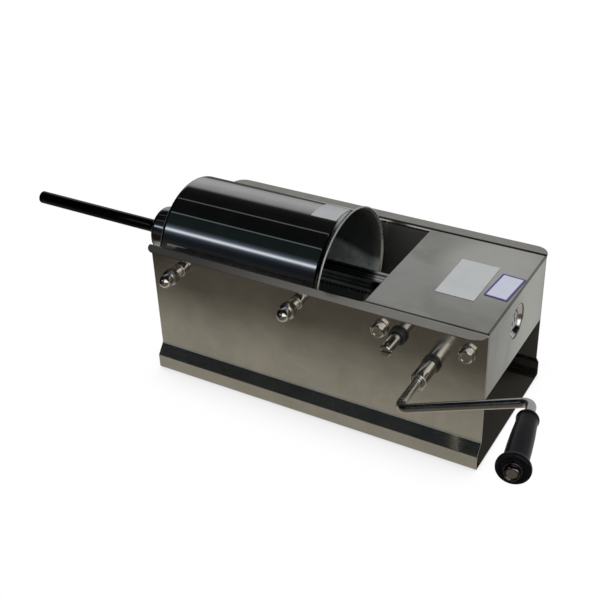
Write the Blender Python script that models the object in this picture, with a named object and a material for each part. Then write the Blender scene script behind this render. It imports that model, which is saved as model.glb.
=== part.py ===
"""Horizontal hand-cranked sausage stuffer, as separate pieces.

Metres, +Z up. The origin is on the table under the middle of the chassis. +X runs towards the gearbox
end, the cylinder fills the -X end, and the crank stands on the -Y wall.
"""

import math

import bmesh
import bpy
from mathutils import Matrix, Vector

MM = 0.001

# Folded chassis
LENGTH = 431.0 * MM
HALF_WIDTH = 90.0 * MM
HEIGHT = 176.0 * MM
SHEET = 1.2 * MM
LIP = 17.4 * MM
LEDGE_OUT = 11.0 * MM
LEDGE_TOP = 32.3 * MM
LEDGE_LOW = 18.7 * MM
FOLD_RADIUS = 2.0 * MM
TOP_FOLD_RADIUS = 3.6 * MM
HALF_LENGTH = LENGTH / 2

# Cover over the gearbox
COVER_LENGTH = 145.0 * MM
COVER_HALF_WIDTH = HALF_WIDTH - SHEET - 0.4 * MM
COVER_DROP = 86.2 * MM
COVER_FLANGE = 16.0 * MM
RACK_HOLE_R = 21.0 * MM

# Cylinder
AXIS_Z = 139.5 * MM
BARREL_FRONT = -217.5 * MM
BARREL_REAR = 9.4 * MM
BARREL_R = 79.6 * MM
BARREL_WALL = 1.4 * MM
BARREL_BORE_R = BARREL_R - BARREL_WALL
BARREL_SEGMENTS = 48
RIM_R = 86.6 * MM
FLARE = 11.0 * MM
SHOULDER = 7.0 * MM
NECK_R = 24.0 * MM
NECK_BORE_R = 19.0 * MM
NECK_END = -256.5 * MM
NUT_R = 30.0 * MM
NUT_REAR = -237.0 * MM
NUT_FRONT = -267.0 * MM
TUBE_R = 8.3 * MM
TUBE_BORE_R = 7.3 * MM
TUBE_TIP = -471.0 * MM

# Piston and rack
PISTON_FACE = -207.0 * MM
PISTON_R = 77.2 * MM
SEAL_R = 77.8 * MM
DISC = 8.0 * MM
SEAL = 6.0 * MM
RACK_HALF = 10.9 * MM
RACK_REAR = 212.4 * MM
RACK_TRAVEL = 215.0 * MM

# Gears
MODULE = 1.5 * MM
PRESSURE = math.radians(20.0)
ADDENDUM = 0.85 * MODULE
DEDENDUM = 1.3 * MODULE
BACKLASH = 0.3 * MM
PINION_TEETH = 16
LARGE_TEETH = 48
SMALL_TEETH = 15
PINION_PITCH_R = MODULE * PINION_TEETH / 2
CENTRES = MODULE * (LARGE_TEETH + SMALL_TEETH) / 2

# Shafts
MAIN_X = 153.0 * MM
MAIN_Z = AXIS_Z - RACK_HALF + MODULE - PINION_PITCH_R
STUB_ANGLE = math.radians(147.5)
STUB_X = MAIN_X + CENTRES * math.cos(STUB_ANGLE)
STUB_Z = MAIN_Z + CENTRES * math.sin(STUB_ANGLE)
SHAFT_R = 7.0 * MM
SHAFT_STEP_R = 5.5 * MM
STUB_STEP_R = 6.0 * MM
MAIN_END = 122.6 * MM
STUB_END = 124.0 * MM

# Gear frame
PLATE_NEAR = 20.0 * MM
PLATE_FAR = 25.0 * MM
BOLT_R = 5.0 * MM
BOLTS = ((91.0 * MM, 146.4 * MM), (193.7 * MM, 145.2 * MM))

# Crank
ARM_ANGLE = math.radians(22.0)
ARM_LENGTH = 150.4 * MM
ARM_OUT = 178.0 * MM
ARM_LEAN = 3.2 * MM
GRIP_START = 27.5 * MM
ROD_R = 5.0 * MM
GRIP_TILT = math.radians(11.2)
SOCKET_R = 9.6 * MM
SOCKET_IN = 95.4 * MM
SOCKET_OUT = 126.0 * MM

# Clamp screws
CLAMP_X = (-168.6 * MM, -9.2 * MM)
CLAMP_Z = 155.8 * MM

GAP = 0.3 * MM

ALONG_X = (0.0, math.radians(90), 0.0)
OUT_OF_FRONT = (math.radians(90), 0.0, 0.0)
OUT_OF_REAR = (math.radians(-90), 0.0, 0.0)
SECTION_ALONG_X = (math.radians(90), 0.0, math.radians(90))


# ---------------------------------------------------------------- materials

def material(name, colour, metallic, roughness):
    mat = bpy.data.materials.new(name)
    mat.use_nodes = True
    shader = mat.node_tree.nodes["Principled BSDF"]
    shader.inputs["Base Color"].default_value = (*colour, 1.0)
    shader.inputs["Metallic"].default_value = metallic
    shader.inputs["Roughness"].default_value = roughness
    return mat


def satin_steel():
    return material("satin_steel", (0.56, 0.54, 0.51), 1.0, 0.34)


def polished_steel():
    return material("polished_steel", (0.62, 0.62, 0.62), 1.0, 0.12)


def chrome():
    return material("chrome", (0.72, 0.72, 0.72), 1.0, 0.08)


def gear_steel():
    return material("gear_steel", (0.38, 0.38, 0.39), 1.0, 0.38)


def black_plastic():
    return material("black_plastic", (0.015, 0.015, 0.017), 0.0, 0.22)


def black_nylon():
    return material("black_nylon", (0.03, 0.03, 0.03), 0.0, 0.55)


def white_nylon():
    return material("white_nylon", (0.82, 0.82, 0.79), 0.0, 0.5)


def seal_rubber():
    return material("seal_rubber", (0.75, 0.74, 0.70), 0.0, 0.6)


def label_white():
    return material("label_white", (0.80, 0.81, 0.82), 0.0, 0.45)


# ---------------------------------------------------------------- mesh tools

def finish(name, bm, mat, location=(0, 0, 0), rotation=(0, 0, 0), smooth=30.0, parent=None):
    """Turn a closed bmesh into a named object with faces pointing out."""
    bmesh.ops.remove_doubles(bm, verts=bm.verts, dist=1e-7)
    bmesh.ops.recalc_face_normals(bm, faces=bm.faces)
    mesh = bpy.data.meshes.new(name)
    bm.to_mesh(mesh)
    bm.free()
    if smooth:
        mesh.shade_smooth()
        mesh.set_sharp_from_angle(angle=math.radians(smooth))
    ob = bpy.data.objects.new(name, mesh)
    bpy.context.scene.collection.objects.link(ob)
    ob.location = location
    ob.rotation_euler = rotation
    if mat:
        mesh.materials.append(mat)
    if parent:
        ob.parent = parent
    return ob


def stacked(rings, loop=False):
    """Skin rings of equal point counts. A one-point ring is a pole; loop joins the last ring to the first."""
    bm = bmesh.new()
    layers = [[bm.verts.new(p) for p in ring] for ring in rings]
    count = max(len(layer) for layer in layers)
    pairs = list(zip(layers, layers[1:]))
    if loop:
        pairs.append((layers[-1], layers[0]))
    for low, high in pairs:
        for i in range(count):
            j = (i + 1) % count
            corners = [low[i % len(low)], low[j % len(low)], high[j % len(high)], high[i % len(high)]]
            unique = list(dict.fromkeys(corners))
            if len(unique) > 2:
                bm.faces.new(unique)
    if not loop:
        for layer in (layers[0], layers[-1]):
            if len(layer) > 2:
                bm.faces.new(layer)
    return bm


def circle(radius, h, segments):
    if radius < 1e-9:
        return [(0.0, 0.0, h)]
    step = 2 * math.pi / segments
    return [(radius * math.cos(i * step), radius * math.sin(i * step), h) for i in range(segments)]


def hexagon(across_flats, h, segments=24, round_r=None):
    """A hexagon sampled like a circle. round_r cuts its corners to that radius, as a turned chamfer does."""
    ring = []
    for i in range(segments):
        angle = 2 * math.pi * i / segments
        off = (angle + math.pi / 6) % (math.pi / 3) - math.pi / 6
        radius = across_flats / 2 / math.cos(off)
        if round_r:
            radius = min(radius, round_r)
        ring.append((radius * math.cos(angle), radius * math.sin(angle), h))
    return ring


def turned(profile, segments=20, loop=False):
    """Revolve (radius, height) points about local Z."""
    return stacked([circle(r, h, segments) for r, h in profile], loop)


def extruded(outline, low, high):
    return stacked([[(x, y, low) for x, y in outline], [(x, y, high) for x, y in outline]])


def block(size, centre=(0, 0, 0)):
    bm = bmesh.new()
    bmesh.ops.create_cube(bm, size=1.0)
    bmesh.ops.scale(bm, vec=size, verts=bm.verts)
    bmesh.ops.translate(bm, vec=centre, verts=bm.verts)
    return bm


def rounded_corners(points, radius, steps=4, ends=False):
    """Round the corners of a polyline, or of a closed outline when ends is True.

    The radius is one number or a list with one number for each point.
    """
    count = len(points)
    radii = radius if isinstance(radius, list) else [radius] * count
    path = []
    for i, p in enumerate(points):
        if not ends and i in (0, count - 1):
            path.append(tuple(p))
            continue
        corner = Vector(p)
        before = Vector(points[i - 1]) - corner
        after = Vector(points[(i + 1) % count]) - corner
        half = before.angle(after) / 2
        if half > math.radians(89):
            path.append(tuple(p))
            continue
        reach = radii[i] / math.tan(half)
        a = before.normalized()
        b = after.normalized()
        centre = corner + (a + b).normalized() * (radii[i] / math.sin(half))
        start = corner + a * reach - centre
        stop = corner + b * reach - centre
        sweep = start.angle(stop)
        for k in range(steps + 1):
            t = k / steps
            mix = (start * math.sin((1 - t) * sweep) + stop * math.sin(t * sweep)) / math.sin(sweep)
            path.append(tuple(centre + mix))
    return path


def thickened(path, thickness):
    """Give a 2D centre line a constant thickness and return the closed outline."""
    left = []
    right = []
    last = len(path) - 1
    for i, p in enumerate(path):
        here = Vector(p)
        back = (here - Vector(path[i - 1])).normalized() if i > 0 else None
        ahead = (Vector(path[i + 1]) - here).normalized() if i < last else None
        back = back or ahead
        ahead = ahead or back
        along = (back + ahead).normalized()
        normal = Vector((-along.y, along.x))
        reach = thickness / 2 / max(0.5, along.dot(ahead))
        left.append(tuple(here + normal * reach))
        right.append(tuple(here - normal * reach))
    return left + right[::-1]


def swept(path, radius, segments=14):
    """Sweep a circle along a 3D path that stays in the local XY plane."""
    rings = []
    last = len(path) - 1
    for i, p in enumerate(path):
        here = Vector(p)
        back = (here - Vector(path[i - 1])).normalized() if i > 0 else None
        ahead = (Vector(path[i + 1]) - here).normalized() if i < last else None
        back = back or ahead
        ahead = ahead or back
        along = (back + ahead).normalized()
        up = Vector((0, 0, 1))
        side = along.cross(up)
        stretch = 1 / max(0.5, along.dot(ahead))
        ring = []
        for k in range(segments):
            angle = 2 * math.pi * k / segments
            ring.append(here + side * (radius * stretch * math.cos(angle)) + up * (radius * math.sin(angle)))
        rings.append(ring)
    return stacked(rings)


def merged(*parts):
    """Put separate bmeshes into one, for cutters that make several holes at once."""
    bm = bmesh.new()
    for part in parts:
        piece = bpy.data.meshes.new("piece")
        part.to_mesh(piece)
        part.free()
        bm.from_mesh(piece)
        bpy.data.meshes.remove(piece)
    return bm


def moved(bm, location, rotation=None):
    matrix = Matrix.Translation(location)
    if rotation:
        x, y, z = rotation
        turn = Matrix.Rotation(z, 4, "Z") @ Matrix.Rotation(y, 4, "Y") @ Matrix.Rotation(x, 4, "X")
        matrix = matrix @ turn
    bmesh.ops.transform(bm, matrix=matrix, verts=bm.verts)
    return bm


def drill(radius, location, rotation, length, segments=20):
    bm = turned([(radius, -length / 2), (radius, length / 2)], segments)
    return moved(bm, location, rotation)


def cut(target, name, bm):
    """Subtract a shape given in world coordinates from the target."""
    tool = finish(name, bm, None, smooth=0)
    tool.hide_render = True
    tool.display_type = "WIRE"
    mod = target.modifiers.new(name, "BOOLEAN")
    mod.operation = "DIFFERENCE"
    mod.solver = "EXACT"
    mod.object = tool


# ---------------------------------------------------------------- chassis and cover

def chassis(mat):
    """One folded sheet: lip, wall, sloping ledge, base lip, floor, and the same again on the other side."""
    half = SHEET / 2
    wall = HALF_WIDTH - half
    base = HALF_WIDTH + LEDGE_OUT - half
    side = [
        (HALF_WIDTH + LIP, HEIGHT - half),
        (wall, HEIGHT - half),
        (wall, LEDGE_TOP),
        (base, LEDGE_LOW),
        (base, half),
    ]
    path = [(-y, z) for y, z in side] + side[::-1]
    radii = [0, TOP_FOLD_RADIUS] + [FOLD_RADIUS] * 6 + [TOP_FOLD_RADIUS, 0]
    outline = thickened(rounded_corners(path, radii), SHEET)
    bm = extruded(outline, -HALF_LENGTH, HALF_LENGTH)
    ob = finish("chassis", bm, mat, rotation=SECTION_ALONG_X)
    cut(ob, "cutter_lip_corners", lip_corners())
    cut(ob, "cutter_wall_holes", wall_holes())
    return ob


def lip_corners():
    """Four fillet-shaped offcuts that leave each end of the top lips rounded."""
    radius = 17.0 * MM
    spare = 4.0 * MM
    offcuts = []
    for sx in (-1, 1):
        for sy in (-1, 1):
            cx = HALF_LENGTH - radius
            cy = HALF_WIDTH + LIP - radius
            arc = []
            for k in range(9):
                angle = math.radians(90) * k / 8
                arc.append((sx * (cx + radius * math.cos(angle)), sy * (cy + radius * math.sin(angle))))
            top = sy * (cy + radius + spare)
            far = sx * (cx + radius + spare)
            arc = arc + [(sx * cx, top), (far, top), (far, sy * cy)]
            offcuts.append(extruded(arc, HEIGHT - 6 * MM, HEIGHT + 6 * MM))
    return merged(*offcuts)


def wall_holes():
    """Holes for the bushes, the frame bolts and the clamp screws."""
    holes = []
    for x, z in ((MAIN_X, MAIN_Z), (STUB_X, STUB_Z)):
        holes.append(drill(9.5 * MM, (x, -HALF_WIDTH, z), OUT_OF_FRONT, 8 * MM))
    for x, z in BOLTS:
        for side in (-1, 1):
            holes.append(drill(BOLT_R + GAP, (x, side * HALF_WIDTH, z), OUT_OF_FRONT, 8 * MM, 16))
    for x in CLAMP_X:
        holes.append(drill(5.3 * MM, (x, -HALF_WIDTH, CLAMP_Z), OUT_OF_FRONT, 8 * MM, 16))
    return merged(*holes)


def cover(mat):
    """Top plate, two side flanges between the walls and an end plate bent down with the rack hole."""
    front = HALF_LENGTH - COVER_LENGTH
    bottom = HEIGHT - COVER_DROP
    side = [(front, bottom), (HALF_LENGTH, bottom), (HALF_LENGTH, HEIGHT), (front, HEIGHT)]
    outline = side[:2] + rounded_corners(side[1:] + side[:1], FOLD_RADIUS)[1:-1]
    bm = extruded(outline, -COVER_HALF_WIDTH, COVER_HALF_WIDTH)
    ob = finish("cover", bm, mat, rotation=OUT_OF_FRONT)
    inner = COVER_HALF_WIDTH - SHEET
    wide = COVER_HALF_WIDTH + 10 * MM
    low = bottom - 10 * MM
    flange = HEIGHT - COVER_FLANGE
    roof = HEIGHT - SHEET
    hollow = [
        (-wide, low),
        (wide, low),
        (wide, flange),
        (inner, flange),
        (inner, roof),
        (-inner, roof),
        (-inner, flange),
        (-wide, flange),
    ]
    tool = extruded(hollow, front - 10 * MM, HALF_LENGTH - SHEET)
    cut(ob, "cutter_cover_hollow", moved(tool, (0, 0, 0), SECTION_ALONG_X))
    cut(ob, "cutter_rack_hole", drill(RACK_HOLE_R, (HALF_LENGTH, 0, AXIS_Z), ALONG_X, 12 * MM, 48))
    return ob


def flat_label(name, mat, centre, size, angle):
    """A thin blank plate label lying on the cover."""
    outline = [
        (-size[0] / 2, -size[1] / 2),
        (size[0] / 2, -size[1] / 2),
        (size[0] / 2, size[1] / 2),
        (-size[0] / 2, size[1] / 2),
    ]
    bm = extruded(rounded_corners(outline, 0.8 * MM, 2, True), 0, 0.25 * MM)
    place = (centre[0], centre[1], HEIGHT + GAP)
    return finish(name, bm, mat, place, (0, 0, angle), smooth=0)


def end_bush(mat):
    """Turned guide ring behind the end plate, with a flared mouth as wide as the plate's hole."""
    flange = HALF_LENGTH - SHEET - GAP
    profile = [
        (16.6 * MM, flange - 10 * MM),
        (26.0 * MM, flange - 10 * MM),
        (26.0 * MM, flange),
        (RACK_HOLE_R - 0.4 * MM, flange),
        (RACK_HOLE_R - 1.2 * MM, flange - 1.4 * MM),
        (17.4 * MM, flange - 4.4 * MM),
        (16.6 * MM, flange - 5.6 * MM),
    ]
    return finish("end_bush", turned(profile, 32, True), mat, (0, 0, AXIS_Z), ALONG_X)


# ---------------------------------------------------------------- cylinder end

def saddle(name, mat, x, seat):
    """Upright sheet between the walls with a round seat for the barrel's body or for its rim."""
    half = HALF_WIDTH - SHEET - 0.4 * MM
    top = 100.0 * MM
    bottom = SHEET + GAP
    edge = math.acos((AXIS_Z - top) / seat)
    outline = [(-half, bottom), (half, bottom), (half, top)]
    steps = 28
    for k in range(steps + 1):
        angle = edge - 2 * edge * k / steps
        outline.append((seat * math.sin(angle), AXIS_Z - seat * math.cos(angle)))
    outline.append((-half, top))
    bm = extruded(outline, -1.5 * MM, 1.5 * MM)
    return finish(name, bm, mat, (x, 0, 0), SECTION_ALONG_X)


def barrel(mat):
    """Drawn cylinder with a flat front, a rounded front shoulder and a rear end flared to a wider rim."""
    shoulder = SHOULDER
    outer = []
    inner = []
    for k in range(4):
        angle = math.radians(30.0 * k)
        outer.append((
            BARREL_R - shoulder + shoulder * math.sin(angle),
            BARREL_FRONT + shoulder - shoulder * math.cos(angle),
        ))
        small = shoulder - BARREL_WALL
        inner.append((
            BARREL_BORE_R - small + small * math.sin(angle),
            BARREL_FRONT + shoulder - small * math.cos(angle),
        ))
    flare_out = []
    flare_in = []
    for k in range(6):
        t = k / 5
        grown = (RIM_R - BARREL_R) * t * t
        along = BARREL_REAR - 1.2 * MM - FLARE * (1 - t)
        flare_out.append((BARREL_R + grown, along))
        flare_in.append((BARREL_BORE_R + grown - 0.6 * MM * t, along + 0.7 * MM * t))
    rim = flare_out + [(RIM_R, BARREL_REAR - 0.3 * MM), (RIM_R - 0.6 * MM, BARREL_REAR)] + flare_in[::-1]
    hole = NECK_BORE_R + 0.5 * MM
    profile = [(hole, BARREL_FRONT)] + outer + rim + inner[::-1] + [(hole, BARREL_FRONT + BARREL_WALL)]
    return finish("barrel", turned(profile, BARREL_SEGMENTS, True), mat, (0, 0, AXIS_Z), ALONG_X)


def barrel_neck(mat):
    """Weld collar and threaded neck in front of the barrel."""
    back = BARREL_FRONT - GAP
    profile = [
        (NECK_BORE_R, back),
        (28.0 * MM, back),
        (28.0 * MM, back - 4.0 * MM),
        (27.0 * MM, back - 5.0 * MM),
        (NECK_R, back - 5.0 * MM),
        (NECK_R, NECK_END + 1.0 * MM),
        (NECK_R - 1.0 * MM, NECK_END),
        (NECK_BORE_R, NECK_END),
    ]
    return finish("barrel_neck", turned(profile, 32, True), mat, (0, 0, AXIS_Z), ALONG_X)


def tube_gasket(mat):
    near = NECK_END - GAP
    far = near - 1.6 * MM
    profile = [(19.4 * MM, near), (23.4 * MM, near), (23.4 * MM, far), (19.4 * MM, far)]
    return finish("tube_gasket", turned(profile, 24, True), mat, (0, 0, AXIS_Z), ALONG_X)


def stuffing_tube(mat):
    """Clamped flange, short funnel and the long straight tube, open right through."""
    near = NECK_END - 2.2 * MM
    far = near - 3.1 * MM
    profile = [
        (14.0 * MM, near),
        (23.6 * MM, near),
        (23.6 * MM, far),
        (15.4 * MM, far),
        (14.6 * MM, far - 6.0 * MM),
        (TUBE_R, far - 19.0 * MM),
        (TUBE_R, TUBE_TIP + 0.4 * MM),
        (TUBE_R - 0.4 * MM, TUBE_TIP),
        (TUBE_BORE_R, TUBE_TIP),
        (TUBE_BORE_R, far - 16.0 * MM),
        (13.0 * MM, far - 4.0 * MM),
    ]
    return finish("stuffing_tube", turned(profile, 24, True), mat, (0, 0, AXIS_Z), ALONG_X)


def ring_nut(mat):
    """Cap nut with a bore over the neck and a shoulder behind the tube's flange."""
    shoulder = NECK_END - 5.6 * MM
    profile = [
        (NECK_R + 0.4 * MM, NUT_REAR),
        (NUT_R - 1.0 * MM, NUT_REAR),
        (NUT_R, NUT_REAR - 1.0 * MM),
        (NUT_R, NUT_FRONT + 4.0 * MM),
        (NUT_R - 1.2 * MM, NUT_FRONT + 1.2 * MM),
        (NUT_R - 4.0 * MM, NUT_FRONT),
        (16.2 * MM, NUT_FRONT),
        (16.2 * MM, shoulder),
        (NECK_R + 0.4 * MM, shoulder),
    ]
    return finish("ring_nut", turned(profile, 32, True), mat, (0, 0, AXIS_Z), ALONG_X)


def barrel_label(mat):
    """Blank sticker that follows the barrel's curve."""
    low = BARREL_R + GAP
    high = low + 0.25 * MM
    x0 = -37.0 * MM
    x1 = -4.0 * MM
    angles = [math.radians(-19.0 + 27.5 * k / 8) for k in range(9)]
    outline = [(-low * math.sin(a), low * math.cos(a)) for a in angles]
    outline += [(-high * math.sin(a), high * math.cos(a)) for a in angles[::-1]]
    bm = extruded(outline, x0, x1)
    return finish("barrel_label", bm, mat, (0, 0, AXIS_Z), SECTION_ALONG_X)


# ---------------------------------------------------------------- clamp screws

def clamp_boss(name, mat, x):
    """Threaded boss welded on the outside of the front wall."""
    out = HALF_WIDTH + GAP
    profile = [
        (5.3 * MM, out),
        (8.0 * MM, out),
        (8.0 * MM, out + 10.0 * MM),
        (7.2 * MM, out + 11.0 * MM),
        (5.3 * MM, out + 11.0 * MM),
    ]
    return finish(name, turned(profile, 24, True), mat, (x, 0, CLAMP_Z), OUT_OF_FRONT)


def clamp_stud(name, mat, x):
    """Stud with a blunt nose, drawn back so far that the barrel's rim slides past it."""
    nose = HALF_WIDTH - 2.2 * MM
    profile = [
        (0, nose),
        (3.4 * MM, nose),
        (5.0 * MM, nose + 1.6 * MM),
        (5.0 * MM, HALF_WIDTH + 35.0 * MM),
        (0, HALF_WIDTH + 35.0 * MM),
    ]
    return finish(name, turned(profile, 24), mat, (x, 0, CLAMP_Z), OUT_OF_FRONT)


def clamp_cap(name, mat, x):
    """Domed hexagon cap nut on the outer end of the stud."""
    foot = HALF_WIDTH + 22.5 * MM
    flats = 18.0 * MM
    bore = 5.3 * MM
    dome_r = 7.9 * MM
    rings = [
        circle(bore, foot, 24),
        hexagon(flats, foot, round_r=9.4 * MM),
        hexagon(flats, foot + 0.8 * MM),
        hexagon(flats, foot + 8.6 * MM),
        hexagon(flats, foot + 9.4 * MM, round_r=9.2 * MM),
        circle(dome_r, foot + 9.6 * MM, 24),
        circle(dome_r, foot + 15.6 * MM, 24),
    ]
    for k in range(1, 5):
        angle = math.radians(90) * k / 4
        rings.append(circle(dome_r * math.cos(angle), foot + (15.6 + 7.9 * math.sin(angle)) * MM, 24))
    rings[-1] = [(0, 0, foot + 23.5 * MM)]
    top = HALF_WIDTH + 35.3 * MM
    cap = [(0, 0, top)]
    bm = stacked([cap, circle(bore, top, 24)] + rings)
    return finish(name, bm, mat, (x, 0, CLAMP_Z), OUT_OF_FRONT)


# ---------------------------------------------------------------- gear frame

def frame_plate(name, mat, side):
    """Gearbox side plate with its bolt and shaft holes."""
    near = PLATE_NEAR
    far = PLATE_FAR
    outline = [
        (82 * MM, 130 * MM),
        (126 * MM, 99 * MM),
        (180 * MM, 99 * MM),
        (203 * MM, 130 * MM),
        (203 * MM, 160 * MM),
        (82 * MM, 160 * MM),
    ]
    bm = extruded(rounded_corners(outline, 5 * MM, 4, True), near, far)
    rotation = OUT_OF_FRONT
    if side > 0:
        bmesh.ops.scale(bm, vec=(1, 1, -1), verts=bm.verts)
    ob = finish(name, bm, mat, rotation=rotation)
    middle = side * (near + far) / 2
    holes = []
    for x, z in BOLTS:
        holes.append(drill(BOLT_R + GAP, (x, middle, z), OUT_OF_FRONT, 12 * MM, 16))
    main_r = SHAFT_R if side < 0 else SHAFT_STEP_R
    holes.append(drill(main_r + GAP, (MAIN_X, middle, MAIN_Z), OUT_OF_FRONT, 12 * MM))
    if side < 0:
        holes.append(drill(STUB_STEP_R + GAP, (STUB_X, middle, STUB_Z), OUT_OF_FRONT, 12 * MM))
    cut(ob, "cutter_" + name, merged(*holes))
    return ob


def spacer_sleeve(name, mat, x, z, side):
    near = PLATE_FAR + GAP
    far = HALF_WIDTH - SHEET - 0.4 * MM
    profile = [(5.4 * MM, near), (8.0 * MM, near), (8.0 * MM, far), (5.4 * MM, far)]
    rotation = OUT_OF_FRONT if side < 0 else OUT_OF_REAR
    return finish(name, turned(profile, 14, True), mat, (x, 0, z), rotation)


def frame_washer(name, mat, x, z, side):
    near = HALF_WIDTH + GAP
    far = near + 1.6 * MM
    profile = [(5.4 * MM, near), (9.6 * MM, near), (9.6 * MM, far), (5.4 * MM, far)]
    rotation = OUT_OF_FRONT if side < 0 else OUT_OF_REAR
    return finish(name, turned(profile, 24, True), mat, (x, 0, z), rotation)


def frame_bolt(name, mat, x, z, side):
    """Hexagon bolt with a chamfered head; its shank ends inside the frame plate."""
    seat = HALF_WIDTH + 2.2 * MM
    flats = 15.6 * MM
    rings = [
        [(0, 0, PLATE_NEAR + 0.4 * MM)],
        circle(BOLT_R, PLATE_NEAR + 0.4 * MM, 12),
        circle(BOLT_R, seat, 12),
        hexagon(flats, seat, 12),
        hexagon(flats, seat + 5.4 * MM, 12),
        hexagon(flats, seat + 6.4 * MM, 12, 7.5 * MM),
        [(0, 0, seat + 6.4 * MM)],
    ]
    rotation = OUT_OF_FRONT if side < 0 else OUT_OF_REAR
    return finish(name, stacked(rings), mat, (x, 0, z), rotation)


def rack_guide(mat):
    """Block between the frame plates with a square passage for the rack."""
    half = PLATE_NEAR - GAP
    bm = block((14 * MM, 2 * half, 44 * MM), (91 * MM, 0, AXIS_Z - 1 * MM))
    ob = finish("rack_guide", bm, mat, smooth=0)
    passage = 2 * (RACK_HALF + 0.4 * MM)
    cut(ob, "cutter_rack_guide", block((30 * MM, passage, passage), (91 * MM, 0, AXIS_Z)))
    return ob


def backup_pad(mat):
    """Slide pad over the rack, opposite the pinion."""
    half = PLATE_NEAR - GAP
    low = AXIS_Z + RACK_HALF + GAP
    high = 160 * MM
    bm = block((30 * MM, 2 * half, high - low), (MAIN_X, 0, (low + high) / 2))
    return finish("backup_pad", bm, mat, smooth=0)


def shaft_bush(name, mat, x, z):
    """Black flanged bush in the front wall."""
    out = HALF_WIDTH + GAP
    profile = [
        (SHAFT_R + GAP, HALF_WIDTH - 9 * MM),
        (9.2 * MM, HALF_WIDTH - 9 * MM),
        (9.2 * MM, out),
        (10.6 * MM, out),
        (10.6 * MM, out + 4.0 * MM),
        (10.0 * MM, out + 4.6 * MM),
        (SHAFT_R + GAP, out + 4.6 * MM),
    ]
    return finish(name, turned(profile, 24, True), mat, (x, 0, z), OUT_OF_FRONT)


# ---------------------------------------------------------------- gears and shafts

def half_tooth(radius, teeth):
    """Half the angle a tooth spans at a radius, from the involute of its base circle."""
    pitch_r = MODULE * teeth / 2
    base_r = pitch_r * math.cos(PRESSURE)
    at_pitch = (math.pi * MODULE / 2 - BACKLASH / 2) / (2 * pitch_r)
    roll = math.acos(min(1.0, base_r / max(radius, base_r)))
    return at_pitch + (math.tan(PRESSURE) - PRESSURE) - (math.tan(roll) - roll)


def gear_outline(teeth, phase, flank_points):
    pitch_r = MODULE * teeth / 2
    base_r = pitch_r * math.cos(PRESSURE)
    root_r = pitch_r - DEDENDUM
    tip_r = pitch_r + ADDENDUM
    start_r = max(base_r, root_r)
    radii = [start_r + (tip_r - start_r) * k / (flank_points - 1) for k in range(flank_points)]
    if root_r < base_r:
        radii = [root_r] + radii
    outline = []
    for tooth in range(teeth):
        centre = phase + 2 * math.pi * tooth / teeth
        for side, run in ((-1, radii), (1, radii[::-1])):
            for r in run:
                angle = centre + side * half_tooth(r, teeth)
                outline.append((r * math.cos(angle), r * math.sin(angle)))
    return outline


def gear(name, mat, teeth, phase, bore, x, z, near, far, flank_points=2):
    """Spur gear with a plain bore, its axis along Y."""
    bm = extruded(gear_outline(teeth, phase, flank_points), near, far)
    ob = finish(name, bm, mat, (x, 0, z), OUT_OF_FRONT)
    middle = (near + far) / 2
    cut(ob, "cutter_" + name, drill(bore, (x, -middle, z), OUT_OF_FRONT, far - near + 4 * MM))
    return ob


def crank_shaft(mat):
    """Main shaft: crank end outside, large gear seat, then a smaller journal for the rack pinion."""
    profile = [
        (0, -30.0 * MM),
        (SHAFT_STEP_R - 0.6 * MM, -30.0 * MM),
        (SHAFT_STEP_R, -29.4 * MM),
        (SHAFT_STEP_R, 14.0 * MM),
        (SHAFT_R, 14.0 * MM),
        (SHAFT_R, MAIN_END - 0.8 * MM),
        (SHAFT_R - 0.8 * MM, MAIN_END),
        (0, MAIN_END),
    ]
    return finish("crank_shaft", turned(profile, 20), mat, (MAIN_X, 0, MAIN_Z), OUT_OF_FRONT)


def stub_shaft(mat):
    """Second-speed shaft with a cross slot in its outer end."""
    profile = [
        (0, 17.0 * MM),
        (STUB_STEP_R - 0.5 * MM, 17.0 * MM),
        (STUB_STEP_R, 17.5 * MM),
        (STUB_STEP_R, 68.0 * MM),
        (SHAFT_R, 68.0 * MM),
        (SHAFT_R, STUB_END - 0.8 * MM),
        (SHAFT_R - 0.8 * MM, STUB_END),
        (0, STUB_END),
    ]
    ob = finish("stub_shaft", turned(profile, 20), mat, (STUB_X, 0, STUB_Z), OUT_OF_FRONT)
    slot = block((20 * MM, 8 * MM, 3 * MM), (STUB_X, -STUB_END, STUB_Z))
    cut(ob, "cutter_stub_slot", slot)
    return ob


def shaft_clip(mat):
    near = PLATE_FAR + GAP
    profile = [(5.8 * MM, near), (8.4 * MM, near), (8.4 * MM, near + 1.2 * MM), (5.8 * MM, near + 1.2 * MM)]
    return finish("shaft_clip", turned(profile, 24, True), mat, (MAIN_X, 0, MAIN_Z), OUT_OF_REAR)


# ---------------------------------------------------------------- rack and piston

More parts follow.
